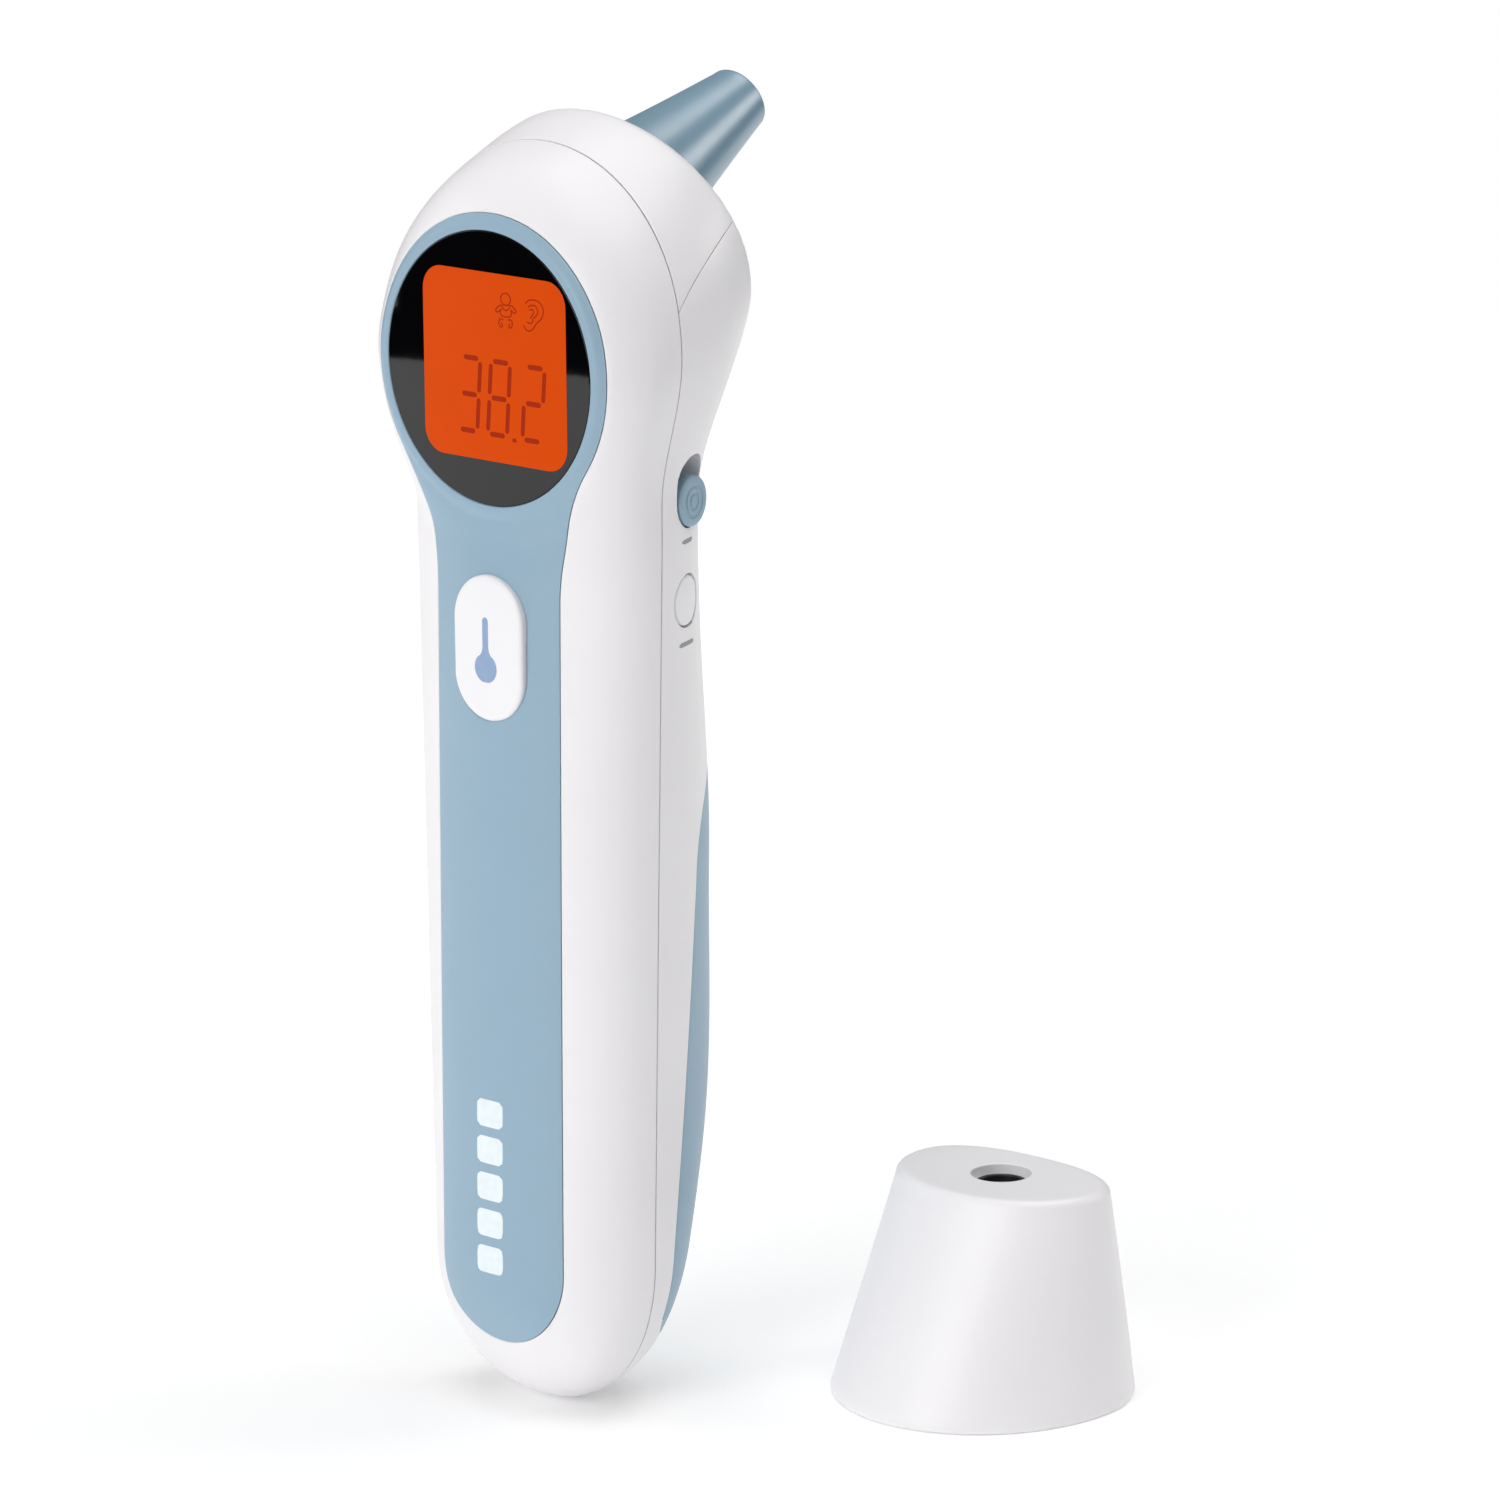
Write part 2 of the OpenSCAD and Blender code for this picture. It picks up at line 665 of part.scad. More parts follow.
module probe_cone() color(deep_blue) along_probe() rotate_extrude($fn = 96) polygon([
    [6.8, flange_low],
    [flange_r, flange_low],
    [flange_r, flange_low + flange_t],
    [root_r, flange_low + flange_t],
    [root_r, 0],
    [tip_r + 0.25, probe_len - 0.9],
    [tip_r, probe_len - 0.3],
    [tip_r - 0.3, probe_len],
    [2.9, probe_len],
    [2.9, probe_len - 1],
    [tip_r - probe_wall + 0.25, probe_len - 1],
    [root_r - probe_wall, 0]
]);

module probe_seal() color(black) along_probe(flange_low + flange_t + 0.02)
    tube(flange_r - 0.2, root_r + 0.12, -flange_low - flange_t - wall - 0.1);

module probe_window() color([0.25, 0.27, 0.3]) along_probe(probe_len - 0.95)
    cylinder(r = 2.85, h = 0.6);

guide_r = 2.3;
module waveguide() color([0.85, 0.68, 0.3]) along_probe(7.7)
    tube(guide_r, guide_r - 0.4, probe_len - 9);

module sensor_holder() color([0.72, 0.74, 0.77]) along_probe() rotate_extrude() polygon([
    [3.25, -1],
    [4.8, -1],
    [4.8, 7],
    [3.4, 11],
    [guide_r + 0.05, 11],
    [guide_r + 0.05, 7.6],
    [2.75, 7.6],
    [2.75, 3.3],
    [3.25, 3.3]
]);

module sensor_can() color(steel) along_probe() {
    translate([0, 0, 2.4]) cylinder(r = 3.1, h = 0.8);
    translate([0, 0, 3.2]) cylinder(r = 2.65, h = 4.3);
    for (a = [45:90:315]) rotate(a) translate([1.3, 0, -1.2]) cylinder(r = 0.25, h = 3.6);
}

module sensor_board() color(board_green) along_probe(-2.2) cylinder(r = 5.2, h = 1);

connector_z = 137;
module sensor_connector() color(white)
    box_between([-3, board_y + board_t, connector_z - 2], [3, board_y + board_t + 2.6, connector_z + 2]);

// Four-wire lead from the sensor's board, looping down to its connector on the main board
cable_r = 0.9;
cable_route = [
    [0, 10.3, 145.4],
    [0, 8.4, 144.4],
    [0, 6.4, 142],
    [0, 4.6, 138.6],
    [0, 2.2, 137],
    [0, 0, 137]
];
module sensor_cable() color([0.8, 0.2, 0.2]) for (i = [0:len(cable_route) - 2])
    hull() for (p = [cable_route[i], cable_route[i + 1]]) translate(p) sphere(r = cable_r, $fn = 16);

// --- Cap ---------------------------------------------------------------------------------
// Egg-shaped sections: an ellipse towards -Y, and a flatter curve towards +Y

cap_base = [20.6, 16.35, 18.9, 2];
cap_top = [11.2, 8.5, 14.7, 2.4];
cap_top_shift = 2.7;
cap_axis_y = 2.2;
cap_socket_r = collar_r + 0.06;
cap_socket_h = 5;
cap_sleeve_z = 0.4;
cap_sleeve_t = 1.3;
cap_lens_z = cap_h - 2;

function egg(size, inset, steps = 72) = [for (i = [0:steps - 1])
    let (a = 360 * i / steps,
         back = cos(a) > 0,
         n = back ? size[3] : 2,
         reach_y = (back ? size[1] : size[0]) - inset)
    [sign(sin(a)) * (size[2] - inset) * pow(abs(sin(a)), 2 / n),
     sign(cos(a)) * reach_y * pow(abs(cos(a)), 2 / n)]];
function cap_size(t) = mix(cap_base, cap_top, t);

module cap_slice(t, inset, z)
    translate([0, cap_top_shift * t, z]) linear_extrude(0.05) polygon(egg(cap_size(t), inset));

module in_cap() translate([cap_x, cap_y, 0]) children();
module on_cap_axis(z) in_cap() translate([0, cap_axis_y, z]) children();

module cap_outer() in_cap() hull() {
    cap_slice(0, 0, 0);
    cap_slice(1, 0, cap_h - 1);
    cap_slice(1, 0.9, cap_h - 0.05);
}

// A round sleeve on four ribs inside the cap slips over the collar on the head
module cap_shell() color(white) difference() {
    union() {
        difference() {
            cap_outer();
            in_cap() hull() {
                cap_slice(0, cap_wall, -0.1);
                cap_slice(0.95, cap_wall, cap_h - 2);
            }
        }
        on_cap_axis(cap_h - 3.2) cylinder(r = 5.2, h = 2);
        on_cap_axis(cap_sleeve_z) cylinder(r = cap_socket_r + cap_sleeve_t, h = cap_socket_h);
        intersection() {
            cap_outer();
            for (a = [0:90:270])
                on_cap_axis(cap_sleeve_z) rotate(a) translate([cap_socket_r + 0.5, -0.6, 0])
                    cube([30, 1.2, cap_socket_h]);
        }
    }
    on_cap_axis(-1) cylinder(r = cap_socket_r, h = cap_sleeve_z + cap_socket_h + 1.5);
    on_cap_axis(cap_h - 1.4) cylinder(r = cap_hole_r, h = 3);
    on_cap_axis(cap_lens_z - 3) cylinder(r = 3.3, h = 8);
}

module cap_lens_ring() color(black) on_cap_axis(cap_lens_z) tube(3.25, 2.75, 0.9);

module cap_lens() color([0.35, 0.42, 0.47]) on_cap_axis(cap_lens_z - 0.8) cylinder(r = 3.25, h = 0.75);

front_shell();
rear_shell();
probe_housing();
probe_collar();
front_panel();
display_window();
lcd_glass();
lcd_backlight();
lcd_frame();
lcd_connector();
main_board();
microcontroller();
small_parts();
buzzer();
board_screws();
case_screws();
scan_button();
scan_icon();
scan_switch();
scan_plunger();
side_board();
board_header();
mode_button();
mode_switch();
mode_plunger();
unit_knob();
unit_switch();
unit_lever();
battery_tray();
battery_left();
battery_right();
battery_springs();
battery_contacts();
battery_cover();
probe_cone();
probe_seal();
probe_window();
waveguide();
sensor_holder();
sensor_can();
sensor_board();
sensor_connector();
sensor_cable();
cap_shell();
cap_lens();
cap_lens_ring();
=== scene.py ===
import math

import bpy
import numpy as np
from mathutils import Matrix, Vector


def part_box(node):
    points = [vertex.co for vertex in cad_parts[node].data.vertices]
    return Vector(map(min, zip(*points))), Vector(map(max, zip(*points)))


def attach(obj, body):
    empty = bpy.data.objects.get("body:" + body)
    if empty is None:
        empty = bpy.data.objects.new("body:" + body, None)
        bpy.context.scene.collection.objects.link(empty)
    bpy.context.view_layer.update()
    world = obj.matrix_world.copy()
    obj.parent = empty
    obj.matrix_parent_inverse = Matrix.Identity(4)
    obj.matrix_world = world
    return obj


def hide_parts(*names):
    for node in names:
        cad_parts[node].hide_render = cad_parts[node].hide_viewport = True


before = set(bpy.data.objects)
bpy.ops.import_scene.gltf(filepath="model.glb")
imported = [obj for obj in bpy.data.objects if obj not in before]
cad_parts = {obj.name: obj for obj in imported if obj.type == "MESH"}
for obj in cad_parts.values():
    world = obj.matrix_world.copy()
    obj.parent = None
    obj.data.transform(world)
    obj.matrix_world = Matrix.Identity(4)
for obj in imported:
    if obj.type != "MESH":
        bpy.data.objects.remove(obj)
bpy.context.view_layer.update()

# Looks of the digital ear thermometer. Shapes are worked out in millimetres in the CAD frame
# (+Z up the handle, -Y out of the display) and turned into metres when a mesh is made.
MM = 0.001


# --- Camera ---

def place_object(name, data):
    thing = bpy.data.objects.new(name, data)
    bpy.context.scene.collection.objects.link(thing)
    return thing


def add_camera():
    """Stands at the front right of the thermometer, a little above it."""
    azimuth, elevation, roll = math.radians(41.91), math.radians(13.84), math.radians(-0.44)
    target = Vector((29.8, 2.69, 85.7)) * MM
    distance = 0.8255
    back = Vector((math.sin(azimuth) * math.cos(elevation),
                   -math.cos(azimuth) * math.cos(elevation), math.sin(elevation)))
    level = Vector((math.cos(azimuth), math.sin(azimuth), 0))
    upright = back.cross(level)
    right = level * math.cos(roll) + upright * math.sin(roll)
    up = back.cross(right)
    data = bpy.data.cameras.new("camera")
    data.lens = 168
    data.sensor_width = 36
    data.clip_start = 0.01
    camera = place_object("camera", data)
    axes = Matrix((right, up, back)).transposed()
    camera.matrix_world = Matrix.Translation(target + back * distance) @ axes.to_4x4()
    bpy.context.scene.camera = camera


add_camera()


# --- Sizes taken from the frame ---

def node_box(node):
    low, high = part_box(node)
    return np.array(low) / MM, np.array(high) / MM


def node_centre(node):
    low, high = node_box(node)
    return (low + high) / 2


window_low, window_high = node_box("display_window")
panel_t = 1.0
display_z = node_centre("display_window")[2]
window_r = (window_high[0] - window_low[0]) / 2
face_d = panel_t - window_high[1]
ring_r = node_box("front_panel")[1][0]
strip_z = node_box("front_panel")[0][2]
strip_half_w = 9.98
knob_at = node_centre("unit_knob")[1:]
mode_at = node_centre("mode_plunger")[1:]
scan_z = node_centre("scan_plunger")[2]
cap_low, cap_high = node_box("cap_shell")
cap_h = cap_high[2] - cap_low[2]


# --- The body's skin ---
# The CAD shells' surface, but for the step between the halves on the seam, which side_fade fades out.

neck_half_w, grip_half_w = 18.6, 16.45
front_neck_d, front_grip_d = 9.5, 11.15
rear_neck_d, rear_mid_d, rear_grip_d = 17.2, 20.65, 23.55
grip_z, neck_z, mid_z = display_z - 100, display_z - 20, display_z - 62
side_end_h, front_end_h, rear_end_h = 19, 17.8, 72.7
front_power, rear_power = 2.45, 2
rim_r, head_r, widest_d, rim_power, rear_narrowing = 17.8, 21.9, 13.2, 4.45, 0.021
head_rise, head_len = math.radians(23.6), 27.95
back_round, front_neck_round, rear_neck_round = 1.6, 5.6, 9.4
probe_angle, probe_offset = math.radians(24.5), 6.2
side_fade, handle_top, handle_top_round = 5.0, 2, 6
neck_blend_d, face_drop, face_drop_h, face_round = 12, 3.4, 14, 0.8
panel_crown, crown_end_h, crown_gap_h = 0.75, 8, 16


def unit(t):
    return np.clip(t, 0, 1)


def ease(t):
    c = unit(t)
    return c * c * (3 - 2 * c)


def mix(a, b, t):
    return a + (b - a) * t


def blend_min(a, b, k):
    h = unit(0.5 + 0.5 * (b - a) / k)
    return mix(b, a, h) - k * h * (1 - h)


def blend_max(a, b, k):
    return -blend_min(-a, -b, k)


def round_end(z, h):
    t = unit((h - z) / h)
    return np.sqrt(np.maximum(1 - t * t, 2e-6))


def handle_field(x, y, z):
    along = np.clip((z - grip_z) / (neck_z - grip_z), -0.2, 1)
    w = mix(grip_half_w, neck_half_w, along) * round_end(z, side_end_h)
    front = mix(front_grip_d, front_neck_d, along) * round_end(z, front_end_h)
    rear = round_end(z, rear_end_h) * (
        rear_grip_d
        + (rear_mid_d - rear_grip_d) * ease((z - grip_z) / (mid_z - grip_z))
        + (rear_neck_d - rear_mid_d) * ease((z - mid_z) / (neck_z - mid_z)))
    d = np.where(y < 0, front, rear)
    n = np.where(y < 0, front_power, rear_power)
    q = ((np.abs(x) / w) ** n + (np.abs(y) / d) ** n) ** (1 / n)
    scale = mix(np.minimum(w, front), np.minimum(w, rear), ease(1 + y / side_fade))
    return blend_max((q - 1) * scale, z - display_z - handle_top, handle_top_round)


def head_field(x, y, z):
    d = y + face_d
    up = z - display_z
    off_axis = np.sqrt(x * x + (up - d * math.tan(head_rise)) ** 2)
    before = head_r - (head_r - rim_r) * (np.abs(widest_d - d) / widest_d) ** rim_power
    behind = head_r - rear_narrowing * (d - widest_d) ** 2
    return off_axis - np.where(d < widest_d, before, behind)


def body_field(p):
    """Negative inside the body, near its true distance at the skin."""
    x, y, z = p[..., 0], p[..., 1], p[..., 2]
    neck_round = mix(front_neck_round, rear_neck_round, ease(y / neck_blend_d))
    both = blend_min(handle_field(x, y, z), head_field(x, y, z), neck_round)
    back = (y + face_d) * math.cos(probe_angle) + (z - display_z) * math.sin(probe_angle)
    face = -face_d - face_drop * ease((neck_z - z) / face_drop_h)
    return blend_max(blend_max(both, back - head_len, back_round), face - y, face_round)


def gradient(p, step=0.02):
    slopes = []
    for axis in range(3):
        shift = np.zeros(3)
        shift[axis] = step
        slopes.append((body_field(p + shift) - body_field(p - shift)) / (2 * step))
    return np.stack(slopes, -1)


def to_level(p, level=0.0, rounds=4):
    """Moves points along the field's slope to where it has this level."""
    for _ in range(rounds):
        slope = gradient(p)
        p = p - slope * ((body_field(p) - level) / (slope * slope).sum(-1))[..., None]
    return p


def sink(p, depth, steps=6):
    """Points on the skin, taken straight inwards to a depth."""
    for i in range(steps):
        p = to_level(p, -depth * (i + 1) / steps, 2)
    return p


def normalised(v):
    return v / np.maximum(np.linalg.norm(v, axis=-1, keepdims=True), 1e-12)


class Sheet:
    """Polygons on the body's skin, which can be cut along lines."""

    def __init__(self, points, faces):
        self.points = points
        self.faces = faces

    def cut(self, distance, *levels):
        """Adds edges where the distance function has each level."""
        for level in levels:
            self._cut(lambda p: distance(p) - level)

    def _cut(self, value_at):
        tiny = 1e-4
        values = value_at(self.points)
        side = np.where(values > tiny, 1, np.where(values < -tiny, -1, 0))
        edges = {}
        touched = []
        for k, face in enumerate(self.faces):
            signs = [side[i] for i in face]
            if max(signs) <= 0 or min(signs) >= 0:
                continue
            touched.append(k)
            for a, b in zip(face, face[1:] + face[:1]):
                if side[a] * side[b] < 0:
                    edges[(min(a, b), max(a, b))] = None
        if not touched:
            return
        keys = list(edges)
        first = self.points[[k[0] for k in keys]]
        second = self.points[[k[1] for k in keys]]
        rising = (values[[k[0] for k in keys]] < 0)[:, None]
        low, high = np.where(rising, first, second), np.where(rising, second, first)
        for _ in range(14):
            middle = to_level((low + high) / 2, rounds=2)
            below = (value_at(middle) < 0)[:, None]
            low, high = np.where(below, middle, low), np.where(below, high, middle)
        start = len(self.points)
        self.points = np.concatenate([self.points, to_level((low + high) / 2, rounds=2)])
        for n, key in enumerate(keys):
            edges[key] = start + n
        side = np.concatenate([side, np.zeros(len(keys), int)])
        result = []
        waiting = set(touched)
        for k, face in enumerate(self.faces):
            result.extend(self._halves(face, side, edges) if k in waiting else [face])
        self.faces = result

    @staticmethod
    def _halves(face, side, edges):
        ring = []
        for a, b in zip(face, face[1:] + face[:1]):
            ring.append(a)
            if side[a] * side[b] < 0:
                ring.append(edges[(min(a, b), max(a, b))])
        halves = []
        for sign in (1, -1):
            part = [i for i in ring if side[i] * sign >= 0]
            if len(part) > 2 and any(side[i] * sign > 0 for i in part):
                halves.append(part)
        return halves

    def where(self, inside):
        """The faces whose centres pass a test."""
        centres = np.array([self.points[face].mean(0) for face in self.faces])
        return [face for face, ok in zip(self.faces, inside(centres)) if ok]


def body_sheet(columns=168, low_rows=26, side_rows=150, top_rows=40):
    """The whole skin: rays from a line up the middle, fanned out round its two ends."""
    foot, crown = np.array([0, 1.5, 16.0]), np.array([0, 8.0, display_z + 4.4])
    rows = [(foot, -90 * (1 - i / low_rows)) for i in range(1, low_rows)]
    rows += [(mix(foot, crown, i / side_rows), 0) for i in range(side_rows + 1)]
    rows += [(crown, 90 * i / top_rows) for i in range(1, top_rows)]
    turn = np.radians(360 * np.arange(columns) / columns)
    origins, rays = [], []
    for origin, latitude in rows:
        tilt = math.radians(latitude)
        ray = np.stack([np.sin(turn) * math.cos(tilt), -np.cos(turn) * math.cos(tilt),
                        np.full(columns, math.sin(tilt))], -1)
        origins.append(np.broadcast_to(origin, ray.shape))
        rays.append(ray)
    origins = np.concatenate(origins + [foot[None], crown[None]])
    rays = np.concatenate(rays + [[[0, 0, -1.0]], [[0, 0, 1.0]]])
    near, far = np.zeros(len(rays)), np.full(len(rays), 40.0)
    for _ in range(36):
        middle = (near + far) / 2
        inside = body_field(origins + rays * middle[:, None]) < 0
        near, far = np.where(inside, middle, near), np.where(inside, far, middle)
    points = origins + rays * ((near + far) / 2)[:, None]
    last = len(rows) - 1
    low_pole, top_pole = len(points) - 2, len(points) - 1
    faces = []
    for i in range(columns):
        j = (i + 1) % columns
        faces.append([low_pole, j, i])
        faces.append([last * columns + i, last * columns + j, top_pole])
        for r in range(last):
            a, b = r * columns, (r + 1) * columns
            faces.append([a + i, a + j, b + j, b + i])
    return Sheet(points, faces)


# --- Outlines: distance in from a piece's edge, positive inside ---

seam_half = 0.09
FAR = 50.0
fillet_r = 30
cover_edge_top, cover_edge_low = (8.45, 66.5), (3.3, 12.5)
cover_top_r, cover_low_z = 17.3, 8.6
housing_arc_at, housing_arc_r, housing_boss_r = (23.8, 117.5), 30.9, 12
scan_half_w, scan_straight = 5.55, 3.1
knob_r, knob_travel, slot_z = 3.1, 2.5, 113.5
mode_r, mode_gap = 3.06, 0.24


def at_front(p, inside):
    """Leaves out what isn't on the display's side."""
    return np.where(p[..., 1] < 0, inside, -FAR)


def at_switches(p, inside):
    """Leaves out what isn't on the switches' side."""
    return np.where(p[..., 0] > 0, inside, -FAR)


def panel_in(p):
    """In from the outline of the front panel: a disc that runs into a strip through two fillets."""
    x, z = np.abs(p[..., 0]), p[..., 2]
    disc = ring_r - np.hypot(x, z - display_z)
    fillet_x = strip_half_w + fillet_r
    fillet_z = display_z - math.sqrt((ring_r + fillet_r) ** 2 - fillet_x ** 2)
    low_z = strip_z + strip_half_w
    strip = np.where(z < low_z, strip_half_w - np.hypot(x, z - low_z),
                     np.where(z < fillet_z, strip_half_w - x,
                              np.hypot(x - fillet_x, z - fillet_z) - fillet_r))
    waist_z = display_z - (display_z - fillet_z) * ring_r / (ring_r + fillet_r)
    return at_front(p, np.where(z > waist_z, disc, strip))


def front_in(p):
    return -p[..., 1] - seam_half


def rear_in(p):
    return p[..., 1] - seam_half


def cover_in(p):
    """In from the battery cover's outline, seen from the side."""
    y, z = p[..., 1], p[..., 2]
    top = cover_top_r - np.hypot(y - cover_edge_top[0] - cover_top_r, z - cover_edge_top[1])
    run = np.array(cover_edge_top) - np.array(cover_edge_low)
    across = ((y - cover_edge_low[0]) * run[1] - (z - cover_edge_low[1]) * run[0]) / math.hypot(*run)
    corner_r = 3
    corner_y, corner_z = cover_edge_low[0] + corner_r + 0.2, cover_low_z + corner_r
    low = np.where((y < corner_y) & (z < corner_z),
                   corner_r - np.hypot(y - corner_y, z - corner_z),
                   np.minimum(across, z - cover_low_z))
    inside = np.where(z > cover_edge_top[1], np.where(y > cover_edge_top[0] + cover_top_r, FAR, top), low)
    return np.where(y > 1, inside, -FAR)


# Where the probe's axis meets the head's slanted back, and its way out
probe_root = np.array([
    0,
    head_len * math.cos(probe_angle) - probe_offset * math.sin(probe_angle) - face_d,
    display_z + head_len * math.sin(probe_angle) + probe_offset * math.cos(probe_angle)])
probe_dir = np.array([0, math.cos(probe_angle), math.sin(probe_angle)])


def off_probe(p):
    v = p - probe_root
    return np.linalg.norm(v - (v @ probe_dir)[..., None] * probe_dir, axis=-1)


def housing_arc_in(p):
    arc = np.hypot(p[..., 1] - housing_arc_at[0], p[..., 2] - housing_arc_at[1]) - housing_arc_r
    return np.where(p[..., 2] > housing_arc_at[1], arc, -FAR)


def housing_boss_in(p):
    return np.where(p[..., 1] > 0, housing_boss_r - off_probe(p), -FAR)


def housing_in(p):
    return np.maximum(housing_arc_in(p), housing_boss_in(p))


def oblong_in(u, v, r, low, high):
    """In from an oblong of radius r that runs from v = low to v = high."""
    return r - np.hypot(u, v - np.clip(v, low, high))


def scan_in(p):
    return at_front(p, oblong_in(p[..., 0], p[..., 2] - scan_z, scan_half_w, -scan_straight, scan_straight))


def window_in(p):
    return at_front(p, window_r - np.hypot(p[..., 0], p[..., 2] - display_z))


def knob_in(p):
    v = p[..., 2] - slot_z
    return at_switches(p, oblong_in(p[..., 1] - knob_at[0], v, knob_r + 0.15, 0, knob_travel))


def mode_in(p):
    return at_switches(p, mode_r - np.hypot(p[..., 1] - mode_at[0], p[..., 2] - mode_at[1]))


# --- Meshes ---

def new_mesh(name, points, faces):
    mesh = bpy.data.meshes.new(name)
    mesh.from_pydata(points, [], faces)
    return mesh


def link(name, mesh, body, slot, nodes=(), ink=None):
    """Puts a mesh in the scene, rides it on its body and gives it its slot's finish or an ink."""
    piece = place_object(name, mesh)
    mesh.materials.append(FINISHES[ink or slot].material)
    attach(piece, body)
    if nodes:
        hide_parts(*nodes)
    return piece


def wall_normals(points, walls):
    """One normal for each corner of the walls, smooth round the edge."""
    sums = {}
    for wall in walls:
        a, b, c, d = (points[i] for i in wall)
        flat = normalised(np.cross(c - a, d - b))
        for i in wall:
            sums[i] = sums.get(i, 0) + flat
    return [normalised(sums[i]) for wall in walls for i in wall]


def raised(p, depth):
    """Skin points taken inwards by a small depth, along the skin's own normal."""
    return p - normalised(gradient(p)) * depth(p)[..., None]


def raised_normals(p, depth, step=0.02):
    """Normals of the skin after raised()."""
    out = normalised(gradient(p))
    side = normalised(np.cross(out, np.where(np.abs(out[:, 2:]) < 0.9, [[0, 0, 1.0]], [[0, 1.0, 0]])))
    other = np.cross(out, side)

    def slope(way):
        ahead = raised(to_level(p + way * step, rounds=2), depth)
        return ahead - raised(to_level(p - way * step, rounds=2), depth)

    return normalised(np.cross(slope(side), slope(other)))


def skin_piece(name, body, slot, sheet, regions, thickness, *nodes, ink=None):
    """A closed shell on the body's skin.

    regions is a list of (faces, depth): depth gives how far each outer point lies under the skin,
    and thickness how far the inner side lies under it. Regions that share an edge are joined by a
    step, and every other edge has a wall down to the inner side.
    """
    points, faces, normals = [], [], []
    count = 0

    def add_side(polygons, place, facing):
        """Adds polygons with their points moved, and returns the points' new numbers."""
        nonlocal count
        used = sorted({i for face in polygons for i in face})
        moved = place(sheet.points[used])
        outward = facing(sheet.points[used], moved)
        index = {old: count + new for new, old in enumerate(used)}
        for face in polygons:
            faces.append([index[i] for i in face])
            normals.extend(outward[index[i] - count] for i in face)
        points.append(moved)
        count += len(used)
        return index

    tops, owners = [], {}
    for n, (polygons, depth) in enumerate(regions):
        tops.append(add_side(polygons, lambda p: raised(p, depth), lambda p, _: raised_normals(p, depth)))
        for face in polygons:
            for edge in zip(face, face[1:] + face[:1]):
                owners[edge] = n
    inner = add_side([face[::-1] for polygons, _ in regions for face in polygons],
                     lambda p: sink(p, thickness), lambda _, moved: -normalised(gradient(moved)))
    walls = []
    for (i, j), n in owners.items():
        other = owners.get((j, i))
        if other is None or other > n:
            low = inner if other is None else tops[other]
            walls.append([tops[n][j], tops[n][i], low[i], low[j]])
    points = np.concatenate(points)
    normals.extend(wall_normals(points, walls))
    mesh = new_mesh(name, (points * MM).tolist(), faces + walls)
    mesh.shade_smooth()
    mesh.normals_split_custom_set([tuple(v) for v in normals])
    mesh.update()
    link(name, mesh, body, slot, nodes, ink)


def rolled(edge_in, r):
    """Depth of an edge rounded to radius r, as a function of the distance in from it."""
    def depth(p):
        s = np.clip(edge_in(p), 0, r)
        return r - np.sqrt(np.maximum(r * r - (r - s) ** 2, 0))
    return depth


def roll_levels(r):
    return [r * k for k in (0, 0.04, 0.16, 0.4, 1)]


def cut_out(sheet, *edges):
    """What lies inside every outline, with its edges rounded. Each edge is (distance in, radius)."""
    for edge_in, r in edges:
        sheet.cut(edge_in, *roll_levels(r))
    faces = sheet.where(lambda p: np.min([edge_in(p) for edge_in, _ in edges], axis=0) > 0)
    return faces, lambda p: np.max([rolled(edge_in, r)(p) for edge_in, r in edges], axis=0)


# --- Turned and lofted pieces ---

def fillet(corners, closed=False):
    """A polyline with its corners rounded. Each corner is (a, b) or (a, b, radius)."""
    n = len(corners)
    path = []
    for i, corner in enumerate(corners):
        here = np.array(corner[:2], float)
        r = corner[2] if len(corner) > 2 else 0
        if r == 0 or (not closed and i in (0, n - 1)):
            path.append(here)
            continue
        before = np.array(corners[i - 1][:2], float) - here
        after = np.array(corners[(i + 1) % n][:2], float) - here
        one, two = normalised(before), normalised(after)
        half = math.acos(np.clip(one @ two, -1, 1)) / 2
        reach = min(r / math.tan(half), np.linalg.norm(before) * 0.49, np.linalg.norm(after) * 0.49)
        start, end = here + one * reach, here + two * reach
        steps = 6
        for k in range(steps + 1):
            t = k / steps
            path.append(mix(mix(start, here, t), mix(here, end, t), t))
    return path


def loft_faces(rings, wrap, ends, base=0):
    """Faces over rings of equal length whose points are numbered from base."""
    columns, last = len(rings[0]), len(rings) - 1
    faces = []
    for r in range(last + 1 if wrap else last):
        a, b = base + r * columns, base + (r + 1) % (last + 1) * columns
        for i in range(columns):
            j = (i + 1) % columns
            faces.append([a + i, a + j, b + j, b + i])
    if ends:
        faces.append([base + i for i in range(columns)][::-1])
        faces.append([base + last * columns + i for i in range(columns)])
    return faces


def lofted(name, body, slot, rings, place, *nodes, closed=False, sharp=35):
    """A surface through rings of equal length. place turns the rings' points into the CAD frame."""
    if closed:
        rings = rings + rings[:1]
    points = [tuple(place(np.array(p, float)) * MM) for ring in rings for p in ring]
    mesh = new_mesh(name, points, loft_faces(rings, False, not closed))
    mesh.shade_smooth()
    mesh.set_sharp_from_angle(angle=math.radians(sharp))
    link(name, mesh, body, slot, nodes)


def circle(r, h, columns):
    turn = np.radians(360 * np.arange(columns) / columns)
    return [(max(r, 0.001) * math.cos(a), max(r, 0.001) * math.sin(a), h) for a in turn]


def turned(name, body, slot, profile, place, *nodes, columns=96, closed=False):
    """A lathe: profile is a list of (radius, height), from the outside face round to the inside."""
    lofted(name, body, slot, [circle(r, h, columns) for r, h in profile], place, *nodes, closed=closed)


def quarter(steps):
    """Sines and cosines round a quarter turn."""
    return [(math.sin(a), math.cos(a)) for a in np.linspace(0, math.pi / 2, steps + 1)]


